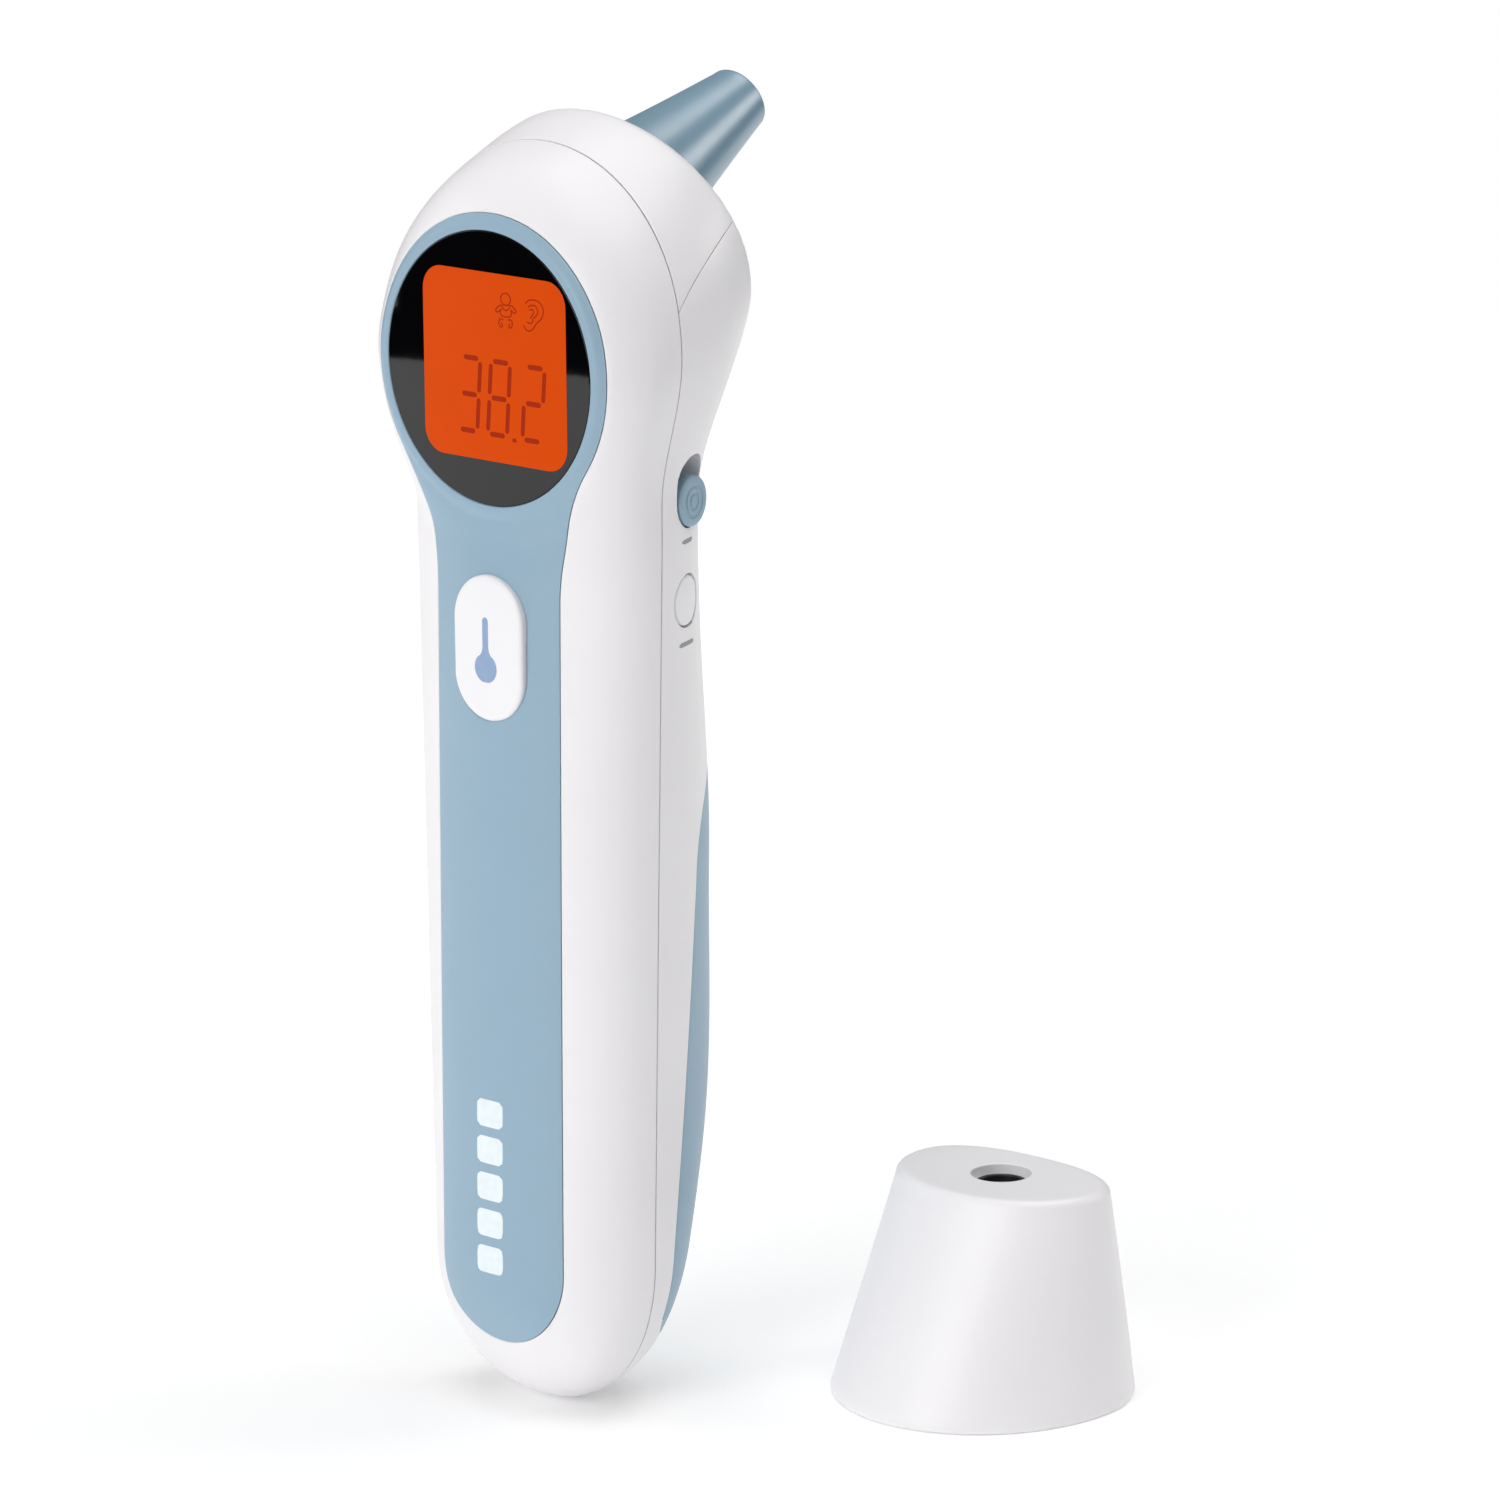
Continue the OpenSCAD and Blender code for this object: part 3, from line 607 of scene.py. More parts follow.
def on_probe(p):
    """Turned pieces of the probe: height runs out along its axis."""
    side = np.array([1.0, 0, 0])
    up = np.cross(probe_dir, side)
    return probe_root + side * p[0] + up * p[1] + probe_dir * p[2]


def out_of_front(x, z):
    """Height runs out of the front face."""
    return lambda p: np.array([x + p[0], -p[2], z + p[1]])


def out_of_side(y, z):
    """Height runs out of the switch side."""
    return lambda p: np.array([p[2], y + p[0], z + p[1]])


# --- Materials ---

def linear(colour):
    """An sRGB colour in 0 to 255 as linear light."""
    parts = [c / 255 for c in colour]
    return [c / 12.92 if c <= 0.04045 else ((c + 0.055) / 1.055) ** 2.4 for c in parts] + [1.0]


class Nodes:
    """A node tree with short ways to add to it."""

    def __init__(self, tree):
        self.tree = tree

    def join(self, source, target):
        self.tree.links.new(source, target)

    def node(self, kind, **values):
        node = self.tree.nodes.new(kind)
        for key, value in values.items():
            if key in node.inputs:
                node.inputs[key].default_value = value
            else:
                setattr(node, key, value)
        return node

    def ramp(self, source, *stops):
        node = self.node("ShaderNodeValToRGB")
        marks = node.color_ramp.elements
        while len(marks) < len(stops):
            marks.new(0.5)
        for mark, (at, colour) in zip(marks, stops):
            mark.position = at
            mark.color = colour
        self.join(source, node.inputs["Fac"])
        return node.outputs["Color"]


FINISHES = {}


class Finish(Nodes):
    """A Principled material whose colour, roughness and bump come from textures in the solid."""

    def __init__(self, name, roughness, ior=1.46, metallic=0.0, coat=0.0, coat_roughness=0.03):
        self.material = bpy.data.materials.new(name)
        self.material.use_nodes = True
        super().__init__(self.material.node_tree)
        self.shader = self.tree.nodes["Principled BSDF"]
        self.place = self.node("ShaderNodeTexCoord").outputs["Object"]
        self.set("Roughness", roughness).set("IOR", ior).set("Metallic", metallic)
        self.set("Coat Weight", coat).set("Coat Roughness", coat_roughness)
        FINISHES[name] = self

    def set(self, socket, value):
        self.shader.inputs[socket].default_value = value
        return self

    def texture(self, kind, **values):
        """A texture node placed in the piece's own frame."""
        node = self.node(kind, **values)
        self.join(self.place, node.inputs["Vector"])
        return node

    def noise(self, size, stretch=(1, 1, 1), detail=3.0):
        """Noise with blotches of this size in millimetres."""
        node = self.node("ShaderNodeTexNoise", Scale=1000 / size, Detail=detail)
        stretched = self.texture("ShaderNodeMapping", Scale=stretch)
        self.join(stretched.outputs["Vector"], node.inputs["Vector"])
        return node.outputs["Fac"]

    def colour(self, colour, size=14, variation=0.02, socket="Base Color", stretch=(1, 1, 1)):
        """Slow blotches a few per cent darker and lighter than the colour."""
        base = linear(colour)
        low = [c * (1 - variation) for c in base[:3]] + [1]
        high = [min(c * (1 + variation), 1) for c in base[:3]] + [1]
        self.join(self.ramp(self.noise(size, stretch), (0.3, low), (0.7, high)), self.shader.inputs[socket])
        return self

    def rough(self, low, high, size=1.5, stretch=(1, 1, 1)):
        span = self.node("ShaderNodeMapRange", **{"To Min": low, "To Max": high})
        self.join(self.noise(size, stretch), span.inputs["Value"])
        self.join(span.outputs["Result"], self.shader.inputs["Roughness"])
        return self

    def grain(self, size, height, stretch=(1, 1, 1)):
        """Bump with blotches of this size and height in millimetres."""
        bump = self.node("ShaderNodeBump", Strength=1.0, Distance=height * MM)
        self.join(self.noise(size, stretch, detail=2.0), bump.inputs["Height"])
        self.join(bump.outputs["Normal"], self.shader.inputs["Normal"])
        return self


def moulded(name, colour, roughness, grain=0.006, gloss=0.06, **more):
    """Injection-moulded plastic: even colour, a faint texture and a little uneven gloss."""
    finish = Finish(name, roughness, **more)
    finish.colour(colour, size=18, variation=0.012)
    finish.rough(roughness - gloss / 2, roughness + gloss / 2, size=2.2)
    return finish.grain(0.32, grain)


def metal(name, colour, roughness, stretch=(1, 1, 14), grain=0.004):
    """Sheet or turned metal with drawing marks."""
    finish = Finish(name, roughness, metallic=1.0, ior=1.5)
    finish.colour(colour, size=2.5, variation=0.07, stretch=stretch)
    finish.rough(roughness * 0.75, roughness * 1.3, size=0.8, stretch=stretch)
    return finish.grain(0.35, grain, stretch=stretch)


def printed(name, colour, roughness=0.45):
    """Pad-printed ink: matt, with a slightly uneven film."""
    finish = Finish(name, roughness)
    finish.colour(colour, size=1.2, variation=0.04)
    finish.rough(roughness - 0.05, roughness + 0.08, size=0.5)
    return finish.grain(0.25, 0.003)


def board(name):
    """Green solder mask with tracks under it."""
    finish = Finish(name, 0.35, coat=0.4)
    tracks = finish.texture("ShaderNodeTexVoronoi", Scale=1000 / 2.2, distance="MANHATTAN", feature="F1")
    greens = [(0.0, (24, 104, 58)), (0.34, (16, 84, 46)), (0.4, (10, 62, 34)), (1.0, (12, 68, 38))]
    mask = finish.ramp(tracks.outputs["Distance"], *[(at, linear(green)) for at, green in greens])
    finish.join(mask, finish.shader.inputs["Base Color"])
    return finish.rough(0.28, 0.42).grain(0.4, 0.01)


def banded(name, colours, low, high):
    """A printed jacket whose colour changes along the height."""
    finish = Finish(name, 0.3, coat=0.5, coat_roughness=0.12)
    parts = finish.texture("ShaderNodeSeparateXYZ")
    span = finish.node("ShaderNodeMapRange", **{"From Min": low * MM, "From Max": high * MM})
    finish.join(parts.outputs["Z"], span.inputs["Value"])
    bands = finish.ramp(span.outputs["Result"], *[(at, linear(colour)) for at, colour in colours])
    finish.join(bands, finish.shader.inputs["Base Color"])
    return finish.rough(0.22, 0.36, size=1.0).grain(0.5, 0.004)


def striped(name, colour_a, colour_b, size):
    """Elastomer strip with thin dark layers across its length."""
    finish = Finish(name, 0.6)
    wave = finish.texture("ShaderNodeTexWave", Scale=1000 / size / 6)
    layers = finish.ramp(wave.outputs["Fac"], (0.4, linear(colour_a)), (0.6, linear(colour_b)))
    finish.join(layers, finish.shader.inputs["Base Color"])
    return finish.rough(0.5, 0.7)


moulded("white_plastic", (238, 236, 238), 0.36)
moulded("blue_plastic", (146, 174, 193), 0.42, grain=0.008)
moulded("probe_plastic", (112, 147, 167), 0.34, grain=0.003, ior=1.7).set("Specular IOR Level", 1.0)
moulded("button_white", (240, 239, 242), 0.4, grain=0.007)
moulded("light_guide", (238, 230, 208), 0.4)
moulded("frame_white", (232, 232, 228), 0.45, grain=0.01)
moulded("chip_black", (28, 28, 30), 0.5, grain=0.012)
moulded("component_tan", (176, 150, 112), 0.4, grain=0.01)
moulded("buzzer_black", (22, 22, 24), 0.32)
moulded("seal_rubber", (26, 26, 28), 0.7, grain=0.012)
moulded("connector_white", (228, 226, 218), 0.45)
moulded("cable_red", (176, 36, 34), 0.5, grain=0.01)
moulded("ring_black", (24, 25, 28), 0.34)
metal("screw_steel", (188, 190, 194), 0.3)
metal("switch_metal", (196, 198, 202), 0.34, stretch=(1, 12, 1))
metal("contact_metal", (206, 204, 196), 0.25)
metal("gold_tube", (226, 178, 84), 0.16)
metal("holder_metal", (176, 178, 184), 0.28)
metal("can_metal", (198, 198, 200), 0.2)
printed("icon_blue", (143, 167, 201))
printed("mark_pale", (232, 241, 244))
printed("mark_grey", (150, 151, 154))
lcd_dark = printed("lcd_dark", (84, 18, 2), 0.5).set("Emission Color", linear((160, 40, 2)))
lcd_dark.set("Emission Strength", 0.8).set("Specular IOR Level", 0.08)
lcd_orange = Finish("lcd_orange", 0.5).colour((60, 18, 2), size=16, variation=0.03)
lcd_orange.colour((223, 76, 8), size=20, variation=0.03, socket="Emission Color").rough(0.45, 0.55, size=3)
lcd_orange.set("Emission Strength", 0.9).set("Specular IOR Level", 0.03)
acrylic = Finish("window_acrylic", 0.03, ior=1.49).colour((5, 5, 7), size=9, variation=0.2)
acrylic.rough(0.015, 0.045, size=6).grain(3.0, 0.002)
infrared_window = Finish("infrared_window", 0.1, ior=2.2).colour((62, 66, 74), size=2)
infrared_window.rough(0.06, 0.14).grain(0.8, 0.002)
lens_grey = Finish("lens_grey", 0.08, ior=1.5, coat=0.6).colour((96, 112, 122), size=3, variation=0.1)
lens_grey.rough(0.05, 0.12).grain(1.0, 0.004)
board("board_green")
striped("zebra_rubber", (214, 96, 120), (60, 30, 40), 0.5)
cells_low, cells_high = node_box("battery_left")
banded("cell_jacket", [(0.0, (190, 192, 196)), (0.02, (40, 52, 66)), (0.76, (44, 58, 74)),
                       (0.78, (196, 128, 70)), (0.96, (200, 134, 76)), (0.98, (190, 192, 196))],
       cells_low[2], cells_high[2])

NODES_OF = {
    "white_plastic": "front_shell rear_shell probe_housing probe_collar cap_shell",
    "blue_plastic": "front_panel unit_knob battery_cover",
    "probe_plastic": "probe_cone",
    "button_white": "scan_button mode_button",
    "icon_blue": "scan_icon",
    "window_acrylic": "display_window",
    "lcd_orange": "lcd_glass",
    "light_guide": "lcd_backlight",
    "frame_white": "lcd_frame battery_tray",
    "zebra_rubber": "lcd_connector",
    "board_green": "main_board side_board sensor_board",
    "chip_black": "microcontroller scan_plunger board_header mode_plunger unit_lever",
    "component_tan": "small_parts",
    "buzzer_black": "buzzer",
    "screw_steel": "board_screws case_screws",
    "switch_metal": "scan_switch mode_switch unit_switch",
    "cell_jacket": "battery_left battery_right",
    "contact_metal": "battery_springs battery_contacts",
    "seal_rubber": "probe_seal",
    "infrared_window": "probe_window",
    "gold_tube": "waveguide",
    "holder_metal": "sensor_holder",
    "can_metal": "sensor_can",
    "connector_white": "sensor_connector",
    "cable_red": "sensor_cable",
    "ring_black": "cap_lens_ring",
    "lens_grey": "cap_lens",
}
for slot, nodes in NODES_OF.items():
    for node in nodes.split():
        for place in bpy.data.objects[node].material_slots:
            place.material = FINISHES[slot].material


# --- Shells and panel ---

skin = body_sheet()


def skin_copy():
    return Sheet(skin.points.copy(), list(skin.faces))


edge_r, lip_r, button_edge_r = 0.05, 0.15, 0.35
window_edge_r, hole_edge_r, collar_edge_r = 0.2, 0.25, 0.2
panel_gap, cover_gap = 0.07, 0.1
hole_gap = 0.15
shell_t, cover_t = 2.2, 1.7
floor_depth = panel_t + 0.05
lcd_opening_r = 15.8


def add_front_shell():
    """The front half, with a recess for the panel."""
    def panel_out(p):
        return -panel_in(p) - panel_gap

    def openings_out(p):
        """Out from the holes for the scan button and the display."""
        return np.minimum(-scan_in(p) - hole_gap, window_r - lcd_opening_r - window_in(p))

    sheet = skin_copy()
    sheet.cut(openings_out, 0)
    outer = cut_out(sheet, (front_in, edge_r), (panel_out, lip_r))
    floor = sheet.where(lambda p: (panel_out(p) < 0) & (openings_out(p) > 0))
    skin_piece("front_shell_skin", "housing", "white_plastic", sheet,
               [outer, (floor, lambda p: np.full(len(p), floor_depth))], shell_t, "front_shell")


def add_rear_shell():
    sheet = skin_copy()
    outlines = [rear_in, lambda p: -cover_in(p) - cover_gap, lambda p: -housing_arc_in(p),
                lambda p: -housing_boss_in(p), lambda p: -mode_in(p) - mode_gap, lambda p: -knob_in(p)]
    region = cut_out(sheet, *[(outline, edge_r) for outline in outlines])
    skin_piece("rear_shell_skin", "housing", "white_plastic", sheet, [region], shell_t, "rear_shell")


housing_gap = 0.1
collar_neck_r = 9.4
collar_hole_r = collar_neck_r + 0.05


def add_probe_housing():
    def zone_in(p):
        return np.minimum(housing_in(p) - housing_gap, rear_in(p))

    def hole_in(p):
        return np.where(p[..., 1] > 0, off_probe(p) - collar_hole_r, FAR)

    sheet = skin_copy()
    sheet.cut(rear_in, *roll_levels(edge_r))
    for outline in (housing_arc_in, housing_boss_in):
        sheet.cut(outline, *[housing_gap + s for s in roll_levels(edge_r)])
    sheet.cut(hole_in, *roll_levels(collar_edge_r))
    faces = sheet.where(lambda p: (zone_in(p) > 0) & (hole_in(p) > 0))
    seam_roll, hole_roll = rolled(zone_in, edge_r), rolled(hole_in, collar_edge_r)
    skin_piece("probe_housing_skin", "housing", "white_plastic", sheet,
               [(faces, lambda p: np.maximum(seam_roll(p), hole_roll(p)))], shell_t, "probe_housing")


rib_top_z, rib_pitch, rib_r, rib_foot, rib_lift = 74.5, 2.4, 1.0, 1.15, 0.42
rib_half_w, rib_taper = 4.2, 0.6


def rib_away(p):
    """Distance from the nearest grip rib's centre line."""
    away = []
    for i in range(4):
        half = rib_half_w - rib_taper * i
        x = p[..., 0]
        line = np.hypot(x - np.clip(x, -half, half), p[..., 2] - rib_top_z + rib_pitch * i)
        away.append(np.where(p[..., 1] > 12, line, FAR))
    return np.min(away, axis=0)


def add_battery_cover():
    sheet = skin_copy()
    sheet.cut(rib_away, *[rib_r * k for k in (0.3, 0.6, 0.85, 1.0, rib_foot)])
    faces, edge_roll = cut_out(sheet, (cover_in, edge_r))

    def depth(p):
        return edge_roll(p) - rib_lift * (1 - ease(rib_away(p) / (rib_foot * rib_r)))

    skin_piece("battery_cover_skin", "battery_door", "blue_plastic", sheet, [(faces, depth)], cover_t,
               "battery_cover")


ring_lift, ring_flat_w, ring_fall_w, window_gap = 0.4, 0.7, 1.3, 0.04


def panel_lift(p):
    """How far the panel's face stands over the body's skin."""
    x, z = p[..., 0], p[..., 2]
    crown = panel_crown * (1 - unit(np.abs(x) / strip_half_w) ** 2) * ease(
        (display_z - crown_gap_h - z) / crown_gap_h) * ease((z - strip_z) / crown_end_h)
    away = np.hypot(x, z - display_z) - window_r
    return crown + ring_lift * (1 - ease((away - ring_flat_w) / ring_fall_w))


def add_front_panel():
    def ring_in(p):
        return -window_in(p) - window_gap

    def hole_in(p):
        return -scan_in(p) - hole_gap

    sheet = skin_copy()
    sheet.cut(panel_in, *roll_levels(edge_r))
    sheet.cut(ring_in, 0, 0.03, 0.1, window_edge_r, ring_flat_w, ring_flat_w + 0.4, ring_flat_w + 0.8)
    sheet.cut(hole_in, *roll_levels(hole_edge_r))
    faces = sheet.where(lambda p: (panel_in(p) > 0) & (ring_in(p) > 0) & (hole_in(p) > 0))
    rolls = rolled(panel_in, edge_r), rolled(ring_in, window_edge_r), rolled(hole_in, hole_edge_r)
    skin_piece("front_panel_skin", "housing", "blue_plastic", sheet,
               [(faces, lambda p: sum(roll(p) for roll in rolls) - panel_lift(p))], panel_t, "front_panel")


def add_mode_button():
    crown, thickness = 0.12, 0.8
    sheet = skin_copy()
    sheet.cut(mode_in, 1.2, 2.2)
    faces, roll = cut_out(sheet, (mode_in, button_edge_r))
    skin_piece("mode_button_cap", "mode_key", "button_white", sheet,
               [(faces, lambda p: roll(p) - crown * unit(mode_in(p) / mode_r))], thickness, "mode_button")


ink_t = 0.02


def soft_box_in(u, v, half_u, half_v, corner):
    """In from a box with round corners."""
    du, dv = np.abs(u) - half_u + corner, np.abs(v) - half_v + corner
    return corner - np.hypot(np.maximum(du, 0), np.maximum(dv, 0)) - np.minimum(np.maximum(du, dv), 0)


def add_print(name, slot, ink, mark_in, lift):
    """A print on the skin. lift is how far the face under it stands over the skin."""
    sheet = skin_copy()
    sheet.cut(mark_in, 0)
    faces = sheet.where(lambda p: mark_in(p) > 0)
    skin_piece(name, "housing", slot, sheet, [(faces, lambda p: -lift(p) - ink_t)], 0.2, ink=ink)


def add_mark():
    """A plain column of five soft squares low on the panel."""
    first_z, pitch, half_u, half_v, corner = 20, 4.6, 2.1, 1.7, 0.7

    def squares_in(p):
        squares = [soft_box_in(p[..., 0], p[..., 2] - first_z - pitch * i, half_u, half_v, corner)
                   for i in range(5)]
        return at_front(p, np.max(squares, axis=0))

    add_print("panel_mark", "blue_plastic", "mark_pale", squares_in, panel_lift)


def add_side_marks():
    """Plain bars beside the two small switches."""
    bar_y, half_v, corner = 5.4, 0.28, 0.25

    def bars_in(p):
        bars = [soft_box_in(p[..., 1] - bar_y, p[..., 2] - z, half_u, half_v, corner)
                for z, half_u in ((108.8, 1.5), (96.3, 1.9))]
        return at_switches(p, np.max(bars, axis=0))

    add_print("side_marks", "white_plastic", "mark_grey", bars_in, lambda p: np.zeros(len(p)))


# --- Display ---

face_out = -window_low[1]


def flat_piece(name, body, slot, ink, strips, low, high):
    """Thin slabs on the display or the button. Each strip is (left side, right side, closed)."""
    points, faces = [], []
    for left, right, closed in strips:
        rings = [[(*a, low), (*a, high), (*b, high), (*b, low)] for a, b in zip(left, right)]
        faces += loft_faces(rings, closed, not closed, len(points))
        points += [(u * MM, -h * MM, v * MM) for ring in rings for u, v, h in ring]
    return link(name, new_mesh(name, points, faces), body, slot, ink=ink)


def ribbon(path, width, closed=False):
    """Both sides of a stroke of this width along a path, with rounded ends."""
    path = np.array(path, float)
    if closed:
        along = normalised(np.roll(path, -1, 0) - np.roll(path, 1, 0))
        half = np.full(len(path), width / 2)
    else:
        along = normalised(np.gradient(path, axis=0))
        start, end = path[0], path[-1]
        caps = np.array([1.0, 0.8, 0.45]) * width / 2
        halves = np.sqrt(np.maximum((width / 2) ** 2 - caps ** 2, (0.12 * width) ** 2))
        path = np.concatenate([start - along[0] * caps[:, None], path, end + along[-1] * caps[::-1, None]])
        along = np.concatenate([np.repeat(along[:1], 3, 0), along, np.repeat(along[-1:], 3, 0)])
        half = np.concatenate([halves, np.full(len(path) - 6, width / 2), halves[::-1]])
    side = np.stack([-along[:, 1], along[:, 0]], -1) * half[:, None]
    return path + side, path - side, closed


def smooth_path(points, steps=6):
    """A Catmull-Rom curve through the points."""
    points = [np.array(p, float) for p in points]
    last = len(points) - 1
    path = []
    for i in range(last):
        a, b, c, d = (points[min(max(i + k, 0), last)] for k in (-1, 0, 1, 2))
        for t in np.arange(steps) / steps:
            path.append(0.5 * (2 * b + (c - a) * t + (2 * a - 5 * b + 4 * c - d) * t * t
                               + (3 * b - a - 3 * c + d) * t ** 3))
    return path + [points[-1]]


def soft_square(half_u, half_v, corner, steps=8):
    ring = []
    for k, (su, sv) in enumerate([(1, 1), (-1, 1), (-1, -1), (1, -1)]):
        for i in range(steps + 1):
            a = math.radians(90 * (k + i / steps))
            ring.append((su * (half_u - corner) + corner * math.cos(a),
                         sv * (half_v - corner) + corner * math.sin(a)))
    return ring


lcd_u, lcd_v = 1.1, 0.27
lcd_half_u, lcd_half_v, lcd_corner = 11.6, 11.3, 3.0
digit_h, digit_low, slant, stroke = 8.8, -7.75, 0.08, 0.62
SEGMENTS = {"3": "abcdg", "8": "abcdefg", "2": "abdeg"}


def digit_strokes(digit, left, right):
    low, high, gap = digit_low, digit_low + digit_h, 0.66
    middle = (low + high) / 2
    bars = {"a": high, "d": low, "g": middle}
    posts = {"b": (right, high - gap, middle + gap), "c": (right, middle - gap, low + gap),
             "e": (left, middle - gap, low + gap), "f": (left, high - gap, middle + gap)}
    strokes = []
    for segment in SEGMENTS[digit]:
        if segment in bars:
            start, end = (left + gap, bars[segment]), (right - gap, bars[segment])
        else:
            u, v0, v1 = posts[segment]
            start, end = (u, v0), (u, v1)
        path = [mix(np.array(start), np.array(end), t) for t in (0.0, 0.5, 1.0)]
        strokes.append(ribbon([(u + slant * (v - low), v) for u, v in path], stroke))
    return strokes


def on_display(strips):
    lift = np.array([0, display_z])
    return [(left + lift, right + lift, closed) for left, right, closed in strips]


def add_display():
    edge, back = 0.14, window_high[1]
    profile = fillet([(0, face_out), (window_r, face_out, edge), (window_r, -back), (0, -back)])
    turned("window_disc", "housing", "window_acrylic", profile[::-1], out_of_front(0, display_z),
           "display_window", columns=128)
    plate = []
    for inset, h in ((0.0, -0.1), (0.0, 0.015), (0.03, 0.03)):
        outline = soft_square(lcd_half_u - inset, lcd_half_v - inset, lcd_corner - inset)
        plate.append([(u + lcd_u, v + lcd_v, face_out + h) for u, v in outline])
    lofted("lcd_plate", "housing", "lcd_orange", plate, out_of_front(0, display_z))
    strokes = [ribbon([(4.1, -8.05), (4.2, -8.05), (4.3, -8.05)], 0.5)]
    for digit, left, right in (("3", -4.94, -1.88), ("8", -0.14, 2.97), ("2", 5.48, 8.56)):
        strokes += digit_strokes(digit, left, right)
    low, high = face_out, face_out + 0.045
    flat_piece("lcd_digits", "housing", "lcd_orange", "lcd_dark", on_display(strokes), low, high)
    baby = [
        [(2.65, 7.85), (2.15, 7.85), (1.46, 7.27), (1.75, 7.02), (2.3, 7.35)],
        [(3.6, 7.95), (4.1, 7.97), (4.76, 7.47), (4.5, 7.17), (3.95, 7.45)],
        [(2.3, 7.35), (2.25, 6.85), (2.7, 6.6), (3.14, 6.6), (3.65, 6.65), (4.02, 6.95), (3.95, 7.45)],
        [(2.5, 7.62), (3.12, 7.35), (3.75, 7.72)],
        [(2.62, 6.2), (2.15, 6.25), (1.93, 5.75), (2.2, 5.32), (2.5, 5.4), (2.38, 5.8)],
        [(3.45, 6.25), (3.92, 6.3), (4.15, 5.85), (3.9, 5.37), (3.58, 5.42), (3.72, 5.85)],
    ]
    ear = [
        [(6.31, 8.57), (6.8, 8.95), (7.44, 9.1), (8.46, 8.98), (9.18, 8.14), (8.91, 7.1),
         (8.05, 6.37), (7.3, 5.5), (6.5, 5.36), (5.98, 5.85)],
        [(6.75, 8.2), (7.3, 8.45), (7.95, 8.4), (8.3, 7.8), (8.0, 7.25), (7.5, 6.9),
         (7.4, 6.5), (7.0, 6.25), (6.55, 6.4)],
        [(7.0, 7.85), (7.4, 7.95), (7.62, 7.6), (7.3, 7.2), (7.1, 6.9)],
    ]
    line = 0.17
    icons = [ribbon([(3.1 + 0.8 * u, 8.69 + 0.72 * v) for u, v, _ in circle(1, 0, 19)], line, True)]
    icons += [ribbon(smooth_path(points), line) for points in baby + ear]
    flat_piece("lcd_icons", "housing", "lcd_orange", "lcd_dark", on_display(icons), low, high)


# --- Buttons ---

scan_face_out = -node_box("scan_button")[0][1]
scan_half_h = 8.9


def scan_ring(inset, h, columns=64):
    """The button's outline, drawn in by an inset."""
    r, straight = scan_half_w - inset, scan_half_h - inset - scan_half_w
    return [(r * u, r * v + (straight if v >= 0 else -straight), h) for u, v, _ in circle(1, h, columns)]


def add_scan_button():
    flange, flange_low, flange_high, soft = 1.0, 6.2, 6.75, 0.45
    rings = [scan_ring(-flange, flange_low), scan_ring(-flange, flange_high), scan_ring(0, flange_high)]
    rings += [scan_ring(soft * (1 - c), scan_face_out - soft * (1 - s)) for s, c in quarter(6)]
    rings.append(scan_ring(1.6, scan_face_out + 0.02))
    lofted("scan_button_cap", "scan_key", "button_white", rings, out_of_front(0, scan_z), "scan_button")
    bulb_at, bulb_r, stem, top = -2.4, 1.8, 0.47, 3.8
    bulb, tip = np.radians(range(-75, 46, 10)), np.radians([30, 50, 70, 90])
    right = [(bulb_r * math.cos(a), bulb_at + bulb_r * math.sin(a)) for a in bulb]
    right += [(0.85, bulb_at + 1.55), (0.6, bulb_at + 1.95), (stem, bulb_at + 2.5), (stem, 1.5),
              (stem, top - stem)]
    right += [(stem * math.cos(a), top - stem + stem * math.sin(a)) for a in tip]
    right = np.array(right)
    lift = np.array([-0.25, scan_z])
    icon = flat_piece("scan_icon_print", "scan_key", "icon_blue", "icon_blue",
                      [(right * [-1, 1] + lift, right + lift, False)], scan_face_out - 0.2,
                      scan_face_out + 0.035)
    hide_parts("scan_icon")


knob_low, knob_high = node_box("unit_knob")
knob_at_rest = (6.3, slot_z)


def add_knob():
    base, top = knob_low[0], knob_high[0]
    plate_half_w, plate_half_h, plate_drop, plate_t, neck_h, lean = 3.5, 5.0, 0.8, 0.6, 4, 0.22

    def plate(h):
        """The oval flange behind the slot."""
        return [(plate_half_w * u, -plate_drop + plate_half_h * v, h) for u, v, _ in circle(1, h, 96)]

    def slanted(r, h):
        """A ring of the knob, whose top leans."""
        tilt = lean * unit((h - base - neck_h) / (top - base - neck_h))
        return [(u, v, w - tilt * u) for u, v, w in circle(r, h, 96)]

    groove = top - 0.14
    profile = fillet([(knob_r, base + plate_t), (knob_r, base + neck_h), (knob_r, top, 0.9),
                      (2.1, top, 0.12), (2.0, groove, 0.08), (1.65, groove, 0.08), (1.55, top, 0.12),
                      (1.15, top, 0.12), (1.05, groove, 0.08), (0.75, groove, 0.08), (0.65, top, 0.12),
                      (0, top)])
    rings = [plate(base), plate(base + plate_t)] + [slanted(r, h) for r, h in profile]
    lofted("unit_knob_cap", "unit_slider", "blue_plastic", rings,
           out_of_side(*knob_at_rest), "unit_knob")


# --- Probe ---

probe_len, root_r, tip_r, probe_wall = 23.6, 8.4, 4.1, 1.3
flange_low, flange_t, flange_r = -4.8, 1.4, 9.4
collar_r, collar_h = 10, 2


